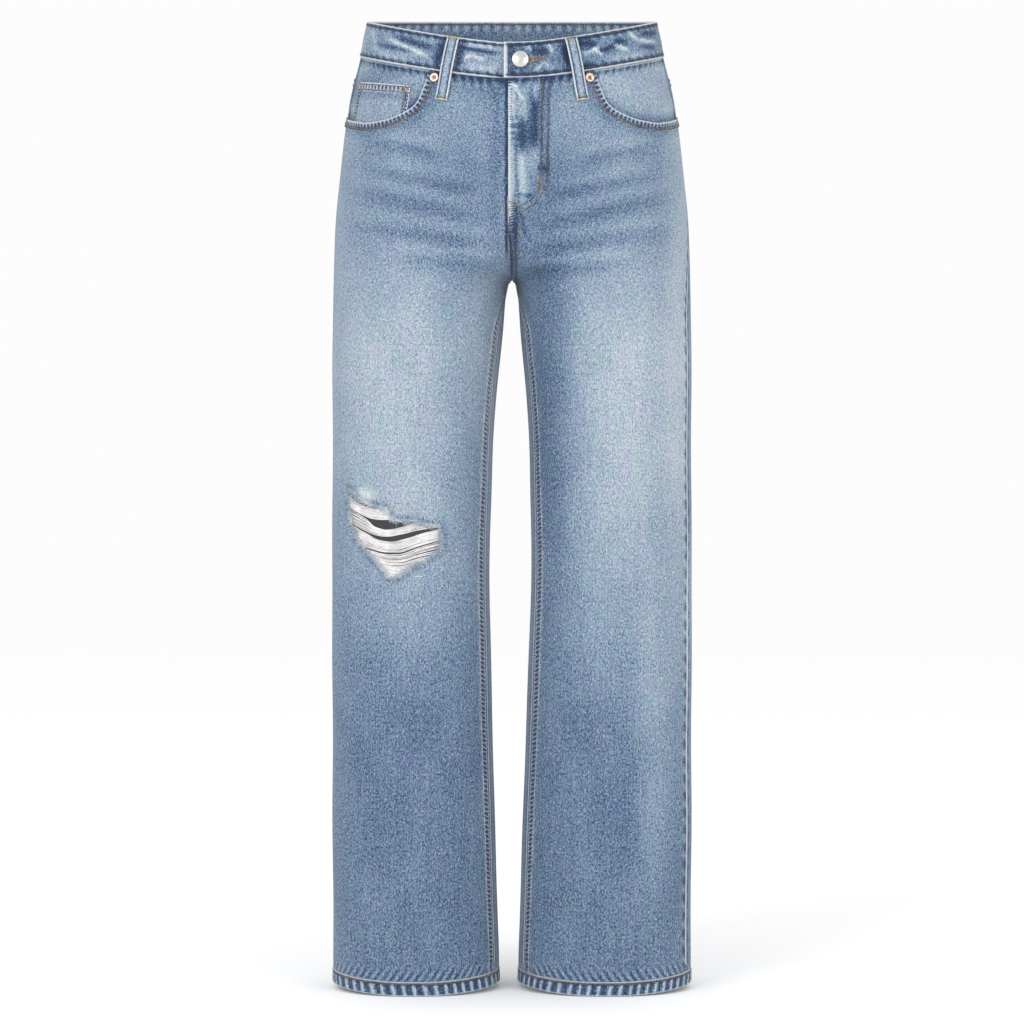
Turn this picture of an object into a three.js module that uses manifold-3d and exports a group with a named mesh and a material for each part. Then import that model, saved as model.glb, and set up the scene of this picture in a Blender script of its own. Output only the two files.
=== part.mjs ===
// Ripped wide-leg jeans, filled out as if worn and empty inside, as the pieces that a maker cuts and sews on.
// Millimetres, +Z up, +X towards the wearer's left, and the front faces -Y.
// The origin is the centre of the waist opening, level with the top of the waistband at the side seams.
import * as THREE from "three";
import { mergeVertices } from "three/addons/utils/BufferGeometryUtils.js";
import Module from "manifold-3d";

const wasm = await Module();
wasm.setup();

// ---------------------------------------------------------------- Driving dimensions
const OUTSEAM = 1020; // waistband top to hem along the side seam
const RISE = 274; // waistband top to crotch, measured down the side
const BAND = 38; // waistband height
const HEM = 15; // turned-up hem height
const WAIST_TILT = 15.5; // how far the waist drops in front, and climbs behind, as it rounds the sides
const WAIST_SAG = 20.5; // how much further it drops at the centre front
const SAG_ROUNDING = 0.15; // how softly that drop turns at the centre, as a share of the half width
const DENIM = 1.2; // one layer of cloth
const BAND_CLOTH = 2.6; // waistband: two layers and their turnings
const BAND_PROUD = 1.0; // how far the band stands out from the panels
const HEM_CLOTH = 3.0; // hem: three layers
const HEM_PROUD = 0.5;
const SEAM_GAP = 0.4; // air between two pieces at a seam
const LAYER_GAP = 0.6; // air under a piece that lies on another

// Half width of the garment, and its depth before and behind the side seams, at distances below the waist.
const HALF_WIDTH = [
  [0, 153],
  [38, 161],
  [75, 170],
  [110, 176],
  [160, 182],
  [230, 188],
  [300, 190],
  [640, 191],
  [OUTSEAM, 190],
];
const FRONT_DEPTH = [
  [0, 98],
  [40, 103],
  [110, 112],
  [180, 116],
  [RISE, 111],
  [360, 98],
  [460, 86],
  [560, 79],
  [720, 75],
  [OUTSEAM, 73],
];
const BACK_DEPTH = [
  [0, 102],
  [40, 107],
  [110, 118],
  [190, 127],
  [RISE, 124],
  [360, 107],
  [460, 93],
  [560, 84],
  [720, 79],
  [OUTSEAM, 76],
];
// Half of the air between the legs.
const LEG_GAP = [
  [RISE, 0],
  [280, 4.8],
  [330, 9],
  [400, 16],
  [470, 20],
  [560, 22],
  [660, 20.5],
  [780, 17],
  [900, 13],
  [OUTSEAM, 10],
];
const BODY_SQUARENESS = 2.35; // exponent of the rounded section at waist and hips, 2 is an ellipse
const LEG_SQUARENESS = 2.2;
const FRONT_CURVE = 85; // height over which the front seam curves under to the crotch
const BACK_CURVE = 130;
const VALLEY = [30, 95]; // distances out from the centre seam between which its valley fades
const INSEAM_FORWARD = 0.057; // how far the inseam lies round to the front, as a share of the way round
const INSEAM_SETTLES = 60; // distance below the crotch at which it has reached that place
// The left side seam twists forwards between two distances below the waist; the right one hangs at the side.
const OUTSEAM_FORWARD = 0.065;
const OUTSEAM_TWISTS = [130, 330];

// Cutting lines, as [place round the half garment, distance below the waist].
// The place is 0 at the centre front or inseam, 0.5 at the side seam and 1 at the centre back or inseam.
const POCKET_MOUTH = [
  [0.157, BAND],
  [0.178, 75],
  [0.21, 89],
  [0.26, 100],
  [0.33, 106],
  [0.41, 105],
  [0.5, 102],
];
const YOKE_SEAM = [
  [0.5, 70],
  [0.75, 92],
  [1, 108],
];
const FRONT_PLACES = [0, 0.008, 0.02, 0.045, 0.09, 0.138, 0.157, 0.178, 0.21, 0.26, 0.33, 0.41, 0.5];
const BACK_PLACES = [0.5, 0.56, 0.62, 0.68, 0.74, 0.8, 0.86, 0.91, 0.95, 0.978, 1];
const PANEL_ROWS = [
  ...[132, 162, 190, 206, 222, 238, 252, 262, 269, 273, 274.5, 277, 282, 292, 312, 345, 385],
  ...[430, 480, 530, 580, 640, 700, 780, 860, 940],
];

const BUTTON_X = 8.5;
const BUTTON_S = 19.5; // distance below the waist
const BUTTONHOLE_END_X = 35;
const FLY_LAP = 4; // how far the fly edge passes the centre line
const FLY_UNDERLAP = 10;
const FLY_RAISE = 1.6; // the extra layers under the fly
const FLY_BOTTOM = 205;

const COLOURS = { denim: 0x8ba3be, worn: 0xa9bbcd, thread: 0xf0eee8, silver: 0xc9ccd0, copper: 0xb98a6e };

// ---------------------------------------------------------------- The surface of the filled-out garment
// A smooth curve through [distance, value] stations that never swings past them.
function along(stations, distance) {
  const last = stations.length - 1;
  const at = Math.min(Math.max(distance, stations[0][0]), stations[last][0]);
  const slopes = [];
  for (let i = 0; i < last; i++) {
    slopes.push((stations[i + 1][1] - stations[i][1]) / (stations[i + 1][0] - stations[i][0]));
  }
  const tangent = (i) => {
    if (i === 0) return slopes[0];
    if (i === last) return slopes[last - 1];
    const [before, after] = [slopes[i - 1], slopes[i]];
    return before * after <= 0 ? 0 : (2 * before * after) / (before + after);
  };
  let k = 0;
  while (k < last - 1 && at > stations[k + 1][0]) k++;
  const step = stations[k + 1][0] - stations[k][0];
  const q = (at - stations[k][0]) / step;
  const [q2, q3] = [q * q, q * q * q];
  return (
    (2 * q3 - 3 * q2 + 1) * stations[k][1] +
    (q3 - 2 * q2 + q) * step * tangent(k) +
    (3 * q2 - 2 * q3) * stations[k + 1][1] +
    (q3 - q2) * step * tangent(k + 1)
  );
}

const ease = (from, to, value) => THREE.MathUtils.smoothstep(value, from, to);
const clamp = THREE.MathUtils.clamp;
const mix = THREE.MathUtils.lerp;

// Depth of the section at distance x from the centre plane, on the front or the back.
function sectionDepth(x, s, isBack) {
  const half = along(HALF_WIDTH, s);
  const gap = s > RISE ? along(LEG_GAP, s) : 0;
  const legCentre = (half + gap) / 2;
  const legRadius = (half - gap) / 2;
  const round = (u, power) => clamp(1 - clamp(u, 0, 1) ** power, 0, 1) ** (1 / power);
  const body = round(x / half, BODY_SQUARENESS);
  const leg = round(Math.abs(x - legCentre) / legRadius, LEG_SQUARENESS);
  const curve = isBack ? BACK_CURVE : FRONT_CURVE;
  const down = clamp((s - RISE + curve) / curve, 0, 1);
  const atSeam = 1 - Math.sqrt(1 - down * down);
  const legness = s >= RISE ? 1 : mix(atSeam, ease(110, RISE, s), ease(...VALLEY, x));
  return along(isBack ? BACK_DEPTH : FRONT_DEPTH, s) * mix(body, leg, legness);
}

// Height of a line drawn round the garment at distance s below the waist.
function lineHeight(t, s) {
  const tilt = WAIST_TILT * Math.abs(Math.cos(Math.PI * t)) ** 0.85;
  const outwards = Math.hypot(Math.sin(Math.PI * t), SAG_ROUNDING) - SAG_ROUNDING;
  const sag = WAIST_SAG * (1 - outwards / (Math.hypot(1, SAG_ROUNDING) - SAG_ROUNDING));
  const waist = (t < 0.5 ? -tilt - sag : tilt) * (1 - ease(55, 235, s));
  const legMiddle = Math.sin(2 * Math.PI * t) ** 2;
  const hem = (t < 0.5 ? -6 : -3) * legMiddle * ease(900, OUTSEAM, s);
  return -s + waist + hem;
}

// A point of the smooth surface of the left half (x >= 0).
function halfPoint(t, s) {
  if (t < 0 || t > 1) {
    const wrapped = halfPoint(t < 0 ? (s < RISE ? -t : t + 1) : s < RISE ? 2 - t : t - 1, s);
    return s < RISE ? wrapped.setX(-wrapped.x) : wrapped;
  }
  const half = along(HALF_WIDTH, s);
  const gap = s > RISE ? along(LEG_GAP, s) : 0;
  const turn = Math.cos(2 * Math.PI * t);
  const onBody = half * Math.sin(Math.PI * t) ** (2 / BODY_SQUARENESS);
  const legTurn = Math.sign(turn) * Math.abs(turn) ** (2 / LEG_SQUARENESS);
  const onLeg = (half + gap) / 2 - ((half - gap) / 2) * legTurn;
  const x = mix(onBody, onLeg, ease(90, RISE, s));
  const isBack = t >= 0.5;
  return new THREE.Vector3(x, (isBack ? 1 : -1) * sectionDepth(x, s, isBack), lineHeight(t, s));
}

function halfNormal(t, s) {
  const acrossStep = 0.002;
  const downStep = 0.8;
  const across = halfPoint(t + acrossStep, s).sub(halfPoint(t - acrossStep, s));
  const down = halfPoint(t, s + downStep).sub(halfPoint(t, s - downStep));
  return across.cross(down).normalize().negate();
}

// The place on the smooth surface of a place on the panels, whose seams wander forwards down the leg.
function shifted(side, t, s) {
  const towardsInseam = Math.abs(1 - 2 * t);
  const inseam = INSEAM_FORWARD * ease(RISE, RISE + INSEAM_SETTLES, s) * towardsInseam;
  const outseam = side > 0 ? OUTSEAM_FORWARD * ease(...OUTSEAM_TWISTS, s) * (1 - towardsInseam) : 0;
  return t + inseam - outseam;
}

// A point on the faceted cloth of one side, moved out along its normal. Every piece uses these facets,
// so pieces that lie on each other stay parallel.
function onCloth(side, t, s, out = 0) {
  const places = t < 0.5 ? FRONT_PLACES : BACK_PLACES;
  let k = 0;
  while (k < places.length - 2 && t > places[k + 1]) k++;
  const share = (t - places[k]) / (places[k + 1] - places[k]);
  const ends = [places[k], places[k + 1]].map((place) => {
    const round = shifted(side, place, s);
    return halfPoint(round, s).addScaledVector(halfNormal(round, s), out);
  });
  const point = ends[0].lerp(ends[1], share);
  return point.setX(side * point.x);
}

// The place on one side's panels whose facet point is x out from the centre, on the front or the back.
function placeAt(side, x, s, centre = 0) {
  let [inner, outer] = [centre, 0.5];
  for (let i = 0; i < 30; i++) {
    const middle = (inner + outer) / 2;
    if (side * onCloth(side, middle, s).x < x) inner = middle;
    else outer = middle;
  }
  return (inner + outer) / 2;
}

// ---------------------------------------------------------------- Making closed walls
function signedVolume(points, triangles) {
  let volume = 0;
  for (let i = 0; i < triangles.length; i += 3) {
    const [a, b, c] = [0, 1, 2].map((n) => points[triangles[i + n]]);
    volume += a.dot(new THREE.Vector3().crossVectors(b, c)) / 6;
  }
  return volume;
}

function solid(points, triangles) {
  if (signedVolume(points, triangles) < 0) triangles.reverse();
  const geometry = new THREE.BufferGeometry().setFromPoints(points);
  geometry.setIndex(triangles);
  geometry.computeVertexNormals();
  return geometry;
}

// Moves the edge points of a grid inwards, so that neighbours keep a gap at their seam.
function insetEdges(grid, ring) {
  const towards = (from, to) => from.add(to.clone().sub(from).setLength(SEAM_GAP / 2));
  const rows = grid.length;
  const columns = grid[0].length;
  if (!ring) {
    grid.forEach((row) => {
      towards(row[0], row[1]);
      towards(row[columns - 1], row[columns - 2]);
    });
  }
  for (let c = 0; c < columns; c++) {
    towards(grid[0][c], grid[1][c]);
    towards(grid[rows - 1][c], grid[rows - 2][c]);
  }
}

// A closed wall from a grid of stations; pointOf(station, layer) is on its outer (0) or inner (1) face.
// A ring's last column joins its first.
function wall(stations, pointOf, ring = false) {
  const layers = [0, 1].map((layer) => stations.map((row) => row.map((station) => pointOf(station, layer))));
  layers.forEach((grid) => insetEdges(grid, ring));
  const rows = stations.length;
  const columns = stations[0].length;
  const points = layers.flat(2);
  const index = (layer, r, c) => (layer * rows + r) * columns + (c % columns);
  const triangles = [];
  const quad = (a, b, c, d) => triangles.push(a, b, c, a, c, d);
  const span = ring ? columns : columns - 1;
  for (let r = 0; r < rows - 1; r++) {
    for (let c = 0; c < span; c++) {
      quad(index(0, r, c), index(0, r + 1, c), index(0, r + 1, c + 1), index(0, r, c + 1));
      quad(index(1, r, c), index(1, r, c + 1), index(1, r + 1, c + 1), index(1, r + 1, c));
    }
    if (!ring) {
      const end = columns - 1;
      quad(index(0, r, 0), index(1, r, 0), index(1, r + 1, 0), index(0, r + 1, 0));
      quad(index(0, r, end), index(0, r + 1, end), index(1, r + 1, end), index(1, r, end));
    }
  }
  for (let c = 0; c < span; c++) {
    const bottom = rows - 1;
    quad(index(0, 0, c), index(0, 0, c + 1), index(1, 0, c + 1), index(1, 0, c));
    quad(index(0, bottom, c), index(1, bottom, c), index(1, bottom, c + 1), index(0, bottom, c + 1));
  }
  return solid(points, triangles);
}

// Stations { t, s } for a panel whose top and bottom edges are functions of the place round the garment.
function panelStations(places, top, bottom, rowsBetween) {
  const shares = [0, 0.5, ...rowsBetween, 1];
  return shares.map((row, r) =>
    places.map((t) => {
      if (r === 0) return { t, s: top(t) };
      if (r === 1) return { t, s: mix(top(t), rowsBetween[0] ?? bottom(t), 0.5) };
      return { t, s: r === shares.length - 1 ? bottom(t) : row };
    }),
  );
}

function asManifold(geometry) {
  const bare = geometry.clone();
  bare.deleteAttribute("normal");
  bare.deleteAttribute("uv");
  const merged = mergeVertices(bare, 1e-4);
  return new wasm.Manifold(
    new wasm.Mesh({
      numProp: 3,
      vertProperties: new Float32Array(merged.attributes.position.array),
      triVerts: new Uint32Array(merged.index.array),
    }),
  );
}

function cut(geometry, ...tools) {
  let shape = asManifold(geometry);
  for (const tool of tools) shape = shape.subtract(asManifold(tool));
  const mesh = shape.getMesh();
  const result = new THREE.BufferGeometry();
  result.setAttribute("position", new THREE.BufferAttribute(mesh.vertProperties, 3));
  result.setIndex(new THREE.BufferAttribute(mesh.triVerts, 1));
  result.computeVertexNormals();
  return result;
}

// A prism over an outline in the X-Z plane, from the depth `fromY` back to `toY`.
function prism(outline, fromY, toY) {
  const shape = new THREE.Shape(outline.map(([x, z]) => new THREE.Vector2(x, z)));
  const geometry = new THREE.ExtrudeGeometry(shape, { depth: toY - fromY, bevelEnabled: false });
  return geometry.rotateX(Math.PI / 2).translate(0, toY, 0);
}

// ---------------------------------------------------------------- Panels
const pocketMouth = (t) => (t < POCKET_MOUTH[0][0] ? BAND : along(POCKET_MOUTH, t));
const yokeSeam = (t) => along(YOKE_SEAM, t);
const hemTop = () => OUTSEAM - HEM;
const bandBottom = () => BAND;

// How far the fly raises the left front, and how far each front passes the centre line above the fly's foot.
function flyRaise(x, s) {
  return FLY_RAISE * (1 - ease(34, 46, x)) * (1 - ease(FLY_BOTTOM, FLY_BOTTOM + 14, s));
}

function flyPass(side, s) {
  const lap = FLY_LAP * (1 - ease(FLY_BOTTOM - 10, FLY_BOTTOM - 2, s));
  const under = FLY_UNDERLAP * (1 - ease(FLY_BOTTOM - 26, FLY_BOTTOM - 12, s));
  return side > 0 ? lap : under;
}

// The front edges pass the centre line by sliding the first few places along the cloth.
function onFront(side, { t, s }, out) {
  const point = onCloth(side, t, s, out + (side > 0 ? flyRaise(onCloth(1, t, s).x, s) : 0));
  const slide = flyPass(side, s) * (1 - ease(0, 0.03, t));
  return point.setX(point.x - side * slide);
}

function frontPanel(side) {
  const stations = panelStations(FRONT_PLACES, pocketMouth, hemTop, PANEL_ROWS);
  return wall(stations, (station, layer) => onFront(side, station, -layer * DENIM));
}

function backWall(side, out, thickness) {
  const stations = panelStations(BACK_PLACES, yokeSeam, hemTop, PANEL_ROWS);
  return wall(stations, ({ t, s }, layer) => onCloth(side, t, s, out - layer * thickness));
}

function yoke(side) {
  const stations = panelStations(BACK_PLACES, bandBottom, yokeSeam, []);
  return wall(stations, ({ t, s }, layer) => onCloth(side, t, s, -layer * DENIM));
}

// The hip piece that shows in the pocket opening. It runs on under the front panel's edge.
const FACING_OUT = -(2 * DENIM + LAYER_GAP);
const FACING_UNDER = 12;

function pocketFacing(side) {
  const places = FRONT_PLACES.filter((t) => t >= POCKET_MOUTH[0][0]);
  const stations = panelStations(places, bandBottom, (t) => pocketMouth(t) + FACING_UNDER, []);
  return wall(stations, ({ t, s }, layer) => onCloth(side, t, s, FACING_OUT - layer * DENIM));
}

// The small pocket on the wearer's right facing; its foot is hidden under the front panel.
function coinPocket() {
  const places = [0.2, 0.21, 0.26, 0.33, 0.4];
  const top = (t) => mix(57, 66, (t - places[0]) / (places.at(-1) - places[0]));
  const stations = panelStations(places, top, (t) => pocketMouth(t) + FACING_UNDER / 2, []);
  const out = FACING_OUT + DENIM + LAYER_GAP / 2;
  return wall(stations, ({ t, s }, layer) => onCloth(-1, t, s, out - layer * (DENIM - 0.1)));
}

function hemBand(side) {
  const places = [...FRONT_PLACES.slice(0, -1), ...BACK_PLACES.slice(0, -1)];
  const stations = [OUTSEAM - HEM, OUTSEAM - HEM / 2, OUTSEAM].map((s) => places.map((t) => ({ t, s })));
  return wall(stations, ({ t, s }, layer) => onCloth(side, t, s, HEM_PROUD - layer * HEM_CLOTH), true);
}

// ---------------------------------------------------------------- Waistband
const UNDERLAP_X = 40;
const UNDERLAP_DROP = BAND_CLOTH + 1.2; // how far the hidden end lies inside the end over it

// One strip from its hidden end under the button, round the wearer's right, back and left, to the end on top.
function waistband() {
  const hiddenEnd = placeAt(1, UNDERLAP_X, BAND / 2);
  const under = FRONT_PLACES.filter((t) => t > 0 && t < hiddenEnd).reverse();
  const around = [...FRONT_PLACES.slice(0, -1), ...BACK_PLACES];
  const strip = [
    ...[hiddenEnd, ...under].map((t) => ({ side: 1, t, drop: UNDERLAP_DROP })),
    ...around.map((t) => ({ side: -1, t, drop: UNDERLAP_DROP * (1 - ease(0.008, 0.045, t)) })),
    ...around.slice(0, -1).reverse().map((t) => ({ side: 1, t, drop: 0 })),
  ];
  const endPass = { side: 1, t: 0, drop: 0, pass: FLY_LAP };
  const stations = [0, BAND / 2, BAND].map((s) => [...strip, endPass].map((station) => ({ ...station, s })));
  const band = wall(stations, ({ side, t, s, drop, pass = 0 }, layer) => {
    const point = onCloth(side, t, s, BAND_PROUD - drop - layer * BAND_CLOTH);
    return point.setX(point.x - pass);
  });
  return cut(band, buttonhole());
}

// The keyhole slot through the top end only: its foot stops in the air between the two ends.
function buttonhole() {
  const eyelet = 3.4;
  const slot = 0.8;
  const length = BUTTONHOLE_END_X - BUTTON_X;
  const outline = [];
  for (let i = 0; i <= 10; i++) {
    const angle = 0.25 + (i / 10) * (2 * Math.PI - 0.5);
    outline.push([eyelet * Math.cos(angle), eyelet * Math.sin(angle)]);
  }
  outline.push([length, -slot], [length, slot]);
  const near = onCloth(1, placeAt(1, BUTTON_X, BUTTON_S), BUTTON_S, BAND_PROUD - BAND_CLOTH - 0.6);
  const far = onCloth(1, placeAt(1, BUTTONHOLE_END_X, BUTTON_S), BUTTON_S, BAND_PROUD - BAND_CLOTH - 0.6);
  const depth = 12;
  return prism(outline, -depth, 0)
    .rotateY(Math.atan2(near.z - far.z, far.x - near.x))
    .rotateZ(Math.atan2(far.y - near.y, far.x - near.x))
    .translate(near.x, near.y, near.z);
}

// ---------------------------------------------------------------- Belt loops
const LOOP_WIDTH = 12;
const LOOP_CLOTH = 2;
// Distance below the waist, and the height of the loop's inner face over the cloth.
const LOOP_ARCH = [
  [1, 1.9],
  [8, 3.6],
  [20, 4.6],
  [33, 4.4],
  [44, 2.8],
  [57, 1.1],
  [68, 0.9],
];

// A strip from the band's top edge to just below its lower one; pointAt(station, out) places its points.
function beltLoop(pointAt) {
  const stations = LOOP_ARCH.map(([s, height], i) =>
    [-0.5, 0.5].map((across) => ({ s, height, across, share: i / (LOOP_ARCH.length - 1) })),
  );
  return wall(stations, (station, layer) => pointAt(station, station.height + (1 - layer) * LOOP_CLOTH));
}

function frontLoop(side) {
  const [topX, footX] = [60, 73];
  return beltLoop(({ s, across, share }, out) =>
    onCloth(side, placeAt(side, mix(topX, footX, share) + across * LOOP_WIDTH, s), s, out),
  );
}

function sideLoop(side) {
  const middle = 0.65;
  const halfTurn = 0.0125; // half the loop's width, as a share of the way round
  return beltLoop(({ s, across }, out) => onCloth(side, middle + 2 * across * halfTurn, s, out));
}

function backLoop() {
  return beltLoop(({ s, across }, out) => onCloth(1, 1, s, out).setX(across * LOOP_WIDTH));
}

// ---------------------------------------------------------------- Back pockets
// Corners of the five-sided patch, as [distance out from the centre back, distance below the waist].
const POCKET = {
  outerTop: [163, 104],
  innerTop: [41, 117],
  outerFoot: [156, 218],
  innerFoot: [47, 228],
  point: 26, // how far the foot's middle drops below its corners
};

function backPocket(side) {
  const [rows, columns] = [9, 12];
  const stations = Array.from({ length: rows }, (_, r) =>
    Array.from({ length: columns }, (__, c) => {
      const [down, inwards] = [r / (rows - 1), c / (columns - 1)];
      const [x, s] = [0, 1].map((i) =>
        mix(
          mix(POCKET.outerTop[i], POCKET.innerTop[i], inwards),
          mix(POCKET.outerFoot[i], POCKET.innerFoot[i], inwards),
          down,
        ),
      );
      const tip = POCKET.point * down * (1 - Math.abs(2 * inwards - 1));
      return { t: placeAt(side, x, s + tip, 1), s: s + tip };
    }),
  );
  const reach = LAYER_GAP + DENIM;
  const patch = wall(stations, ({ t, s }, layer) => onCloth(side, t, s, layer ? -reach : reach));
  return cut(patch, backWall(side, LAYER_GAP, 3 * reach));
}

// ---------------------------------------------------------------- Button and rivets
// A turned piece whose axis leaves the cloth at a place on the front.
function turned(profile, segments, side, x, s, out) {
  const t = placeAt(side, x, s);
  const normal = halfNormal(t, s);
  normal.x *= side;
  const turn = new THREE.Quaternion().setFromUnitVectors(new THREE.Vector3(0, 1, 0), normal);
  const lathe = new THREE.LatheGeometry(
    profile.map(([radius, height]) => new THREE.Vector2(radius, height)),
    segments,
  );
  const seat = onCloth(side, t, s, out);
  return lathe.applyQuaternion(turn).translate(seat.x, seat.y, seat.z);
}

function button() {
  const profile = [
    [0, 0],
    [2.6, 0],
    [2.6, 5.2],
    [7.6, 5.4],
    [8.8, 6.2],
    [8.8, 7],
    [8, 7.9],
    [5, 8.7],
    [0, 9],
  ];
  const underlapFace = BAND_PROUD - UNDERLAP_DROP + 0.3;
  return turned(profile, 24, 1, BUTTON_X, BUTTON_S, underlapFace);
}

function rivet(side) {
  const profile = [
    [0, 0],
    [4.2, 0],
    [4.9, 0.6],
    [4.6, 1.3],
    [2.4, 1.8],
    [2.1, 1.3],
    [1.5, 1.3],
    [1.2, 2.2],
    [0, 2.4],
  ];
  return turned(profile, 20, side, 80, 45.5, LAYER_GAP + 0.3);
}

// ---------------------------------------------------------------- The rip over the wearer's right knee
// Its outline in X and Z, from the outer tip along the upper edge and back along the lower one.
const RIP = [
  [-177, -490],
  [-170, -491],
  [-163, -497],
  [-149, -507],
  [-144, -516],
  [-132, -519],
  [-125, -531],
  [-100, -532],
  [-89, -536],
  [-77, -536],
  [-74, -546],
  [-74, -559],
  [-95, -574],
  [-110, -581],
  [-118, -588],
  [-127, -589],
  [-132, -581],
  [-148, -565],
  [-161, -550],
  [-166, -536],
  [-171, -513],
  [-175, -498],
];

function rippedFront() {
  const [beyond, within] = [-130, -8];
  return cut(frontPanel(-1), prism(RIP, beyond, within));
}

// Bands of bare cross threads that still span the hole, as
// [x at the outer end, x at the inner end, height there, height there, sag, width].
const TORN_BANDS = [
  [-176, -140, -493, -512, 3, 6],
  [-173, -118, -505, -530, 3, 9],
  [-168, -73, -527, -538, 9, 8],
  [-164, -72, -541, -548, 9, 12],
  [-150, -80, -560, -561, 8, 9],
];
const TORN_OUT = -(DENIM + LAYER_GAP);

function tornBand([outerX, innerX, outerZ, innerZ, sag, width]) {
  const shares = [0, 0.2, 0.4, 0.6, 0.8, 1];
  const stations = [-0.5, 0, 0.5].map((across) => shares.map((share) => ({ across, share })));
  return wall(stations, ({ across, share }, layer) => {
    const s = -mix(outerZ, innerZ, share) + 4 * sag * share * (1 - share) + across * width;
    const t = placeAt(-1, -mix(outerX, innerX, share), s);
    return onCloth(-1, t, s, TORN_OUT - layer);
  });
}

// ---------------------------------------------------------------- Assembly
const jeans = new THREE.Group();

function add(name, geometry, color, metalness = 0) {
  const material = new THREE.MeshStandardMaterial({ color, metalness, roughness: metalness ? 0.3 : 0.9 });
  const mesh = new THREE.Mesh(geometry, material);
  mesh.name = name;
  jeans.add(mesh);
}

add("waistband", waistband(), COLOURS.denim);
add("front_right", rippedFront(), COLOURS.worn);
add("front_left", frontPanel(1), COLOURS.worn);
for (const [word, side] of [
  ["right", -1],
  ["left", 1],
]) {
  add(`back_${word}`, backWall(side, 0, DENIM), COLOURS.denim);
  add(`yoke_${word}`, yoke(side), COLOURS.denim);
  add(`pocket_facing_${word}`, pocketFacing(side), COLOURS.denim);
  add(`back_pocket_${word}`, backPocket(side), COLOURS.denim);
  add(`belt_loop_front_${word}`, frontLoop(side), COLOURS.denim);
  add(`belt_loop_side_${word}`, sideLoop(side), COLOURS.denim);
  add(`rivet_${word}`, rivet(side), COLOURS.copper, 1);
  add(`hem_${word}`, hemBand(side), COLOURS.denim);
}
add("belt_loop_back", backLoop(), COLOURS.denim);
add("coin_pocket", coinPocket(), COLOURS.denim);
add("button", button(), COLOURS.silver, 1);
TORN_BANDS.forEach((band, i) => add(`torn_band_${i + 1}`, tornBand(band), COLOURS.thread));

export default jeans;
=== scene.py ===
# %% [markdown]
# # Ripped wide-leg jeans
# A pair of washed jeans, filled out as if worn and empty inside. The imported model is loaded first: it
# fixes every size and place. Each cloth piece is then made again as a thin shell with creases, worn
# edges, stitches and loose threads, and it stands in for the plain solid of the same name.
# The script works in millimetres and turns points into metres when a mesh is made.

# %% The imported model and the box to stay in
import math

import bmesh
import bpy
import numpy as np
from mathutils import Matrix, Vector


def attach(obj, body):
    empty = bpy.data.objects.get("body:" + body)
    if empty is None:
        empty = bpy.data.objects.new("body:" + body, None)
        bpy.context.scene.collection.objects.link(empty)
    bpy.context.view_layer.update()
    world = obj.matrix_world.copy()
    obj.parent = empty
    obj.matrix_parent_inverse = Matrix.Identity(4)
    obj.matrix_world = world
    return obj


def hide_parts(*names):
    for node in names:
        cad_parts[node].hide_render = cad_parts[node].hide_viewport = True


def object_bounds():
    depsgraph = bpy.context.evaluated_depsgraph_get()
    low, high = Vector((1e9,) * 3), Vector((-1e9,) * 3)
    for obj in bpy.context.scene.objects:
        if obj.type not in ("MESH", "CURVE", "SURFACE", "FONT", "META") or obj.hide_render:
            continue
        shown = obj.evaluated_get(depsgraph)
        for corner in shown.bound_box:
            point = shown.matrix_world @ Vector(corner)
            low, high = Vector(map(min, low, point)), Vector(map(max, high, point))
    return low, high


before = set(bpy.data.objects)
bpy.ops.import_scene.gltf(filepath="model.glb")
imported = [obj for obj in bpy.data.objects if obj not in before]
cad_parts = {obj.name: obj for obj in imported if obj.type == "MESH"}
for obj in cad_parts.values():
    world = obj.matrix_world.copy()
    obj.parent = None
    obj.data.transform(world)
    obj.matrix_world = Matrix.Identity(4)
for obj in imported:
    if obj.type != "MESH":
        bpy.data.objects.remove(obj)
cad_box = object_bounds()
MM = 0.001


def put(name, data):
    """An object of the scene from its mesh, camera or light."""
    made = bpy.data.objects.new(name, data)
    bpy.context.scene.collection.objects.link(made)
    return made


print("packed model:", len(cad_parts), "solids, box", [round(c, 4) for p in cad_box for c in p])

# %% [markdown]
# ## Camera
# The jeans are seen square from the front, from half their height. A long lens from over three metres
# keeps the legs parallel. The camera comes first, because it decides what has to be good.

# %% Camera
EYE = Vector((0, -3.3, -0.51))
FRAME_HEIGHT_AT_WAIST_PLANE = 1.0896  # metres of the upright plane through the middle that fill the frame
SHIFT_DOWN = -0.011  # the picture's centre stands this share of its width below the line of sight


def make_camera():
    """A level camera that looks along +Y."""
    data = bpy.data.cameras.new("camera")
    data.sensor_width = 36
    data.lens = data.sensor_width * -EYE.y / FRAME_HEIGHT_AT_WAIST_PLANE
    data.shift_y = SHIFT_DOWN
    camera = put("camera", data)
    camera.location = EYE
    camera.rotation_euler = (math.radians(90), 0, 0)
    bpy.context.scene.camera = camera
    return data


print("lens", round(make_camera().lens, 2), "mm")

# %% [markdown]
# ## The shape of the filled-out garment
# Every piece of cloth lies on one smooth surface. A place on it is `t`, the share of the way round half of
# the garment from the centre front (or the inseam) to the centre back, and `s`, the distance below the
# waist. Above the crotch a section is one rounded body, and below it each leg has its own rounded tube.

# %% Stations of the shape
# Lengths down the side seam and down to the crotch, and heights of the waistband and the hem.
OUTSEAM, RISE = 1020, 274
BAND, HEM = 38, 15
HEM_TOP = OUTSEAM - HEM
WAIST_TILT, WAIST_SAG, SAG_ROUNDING = 15.5, 20.5, 0.15
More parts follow.
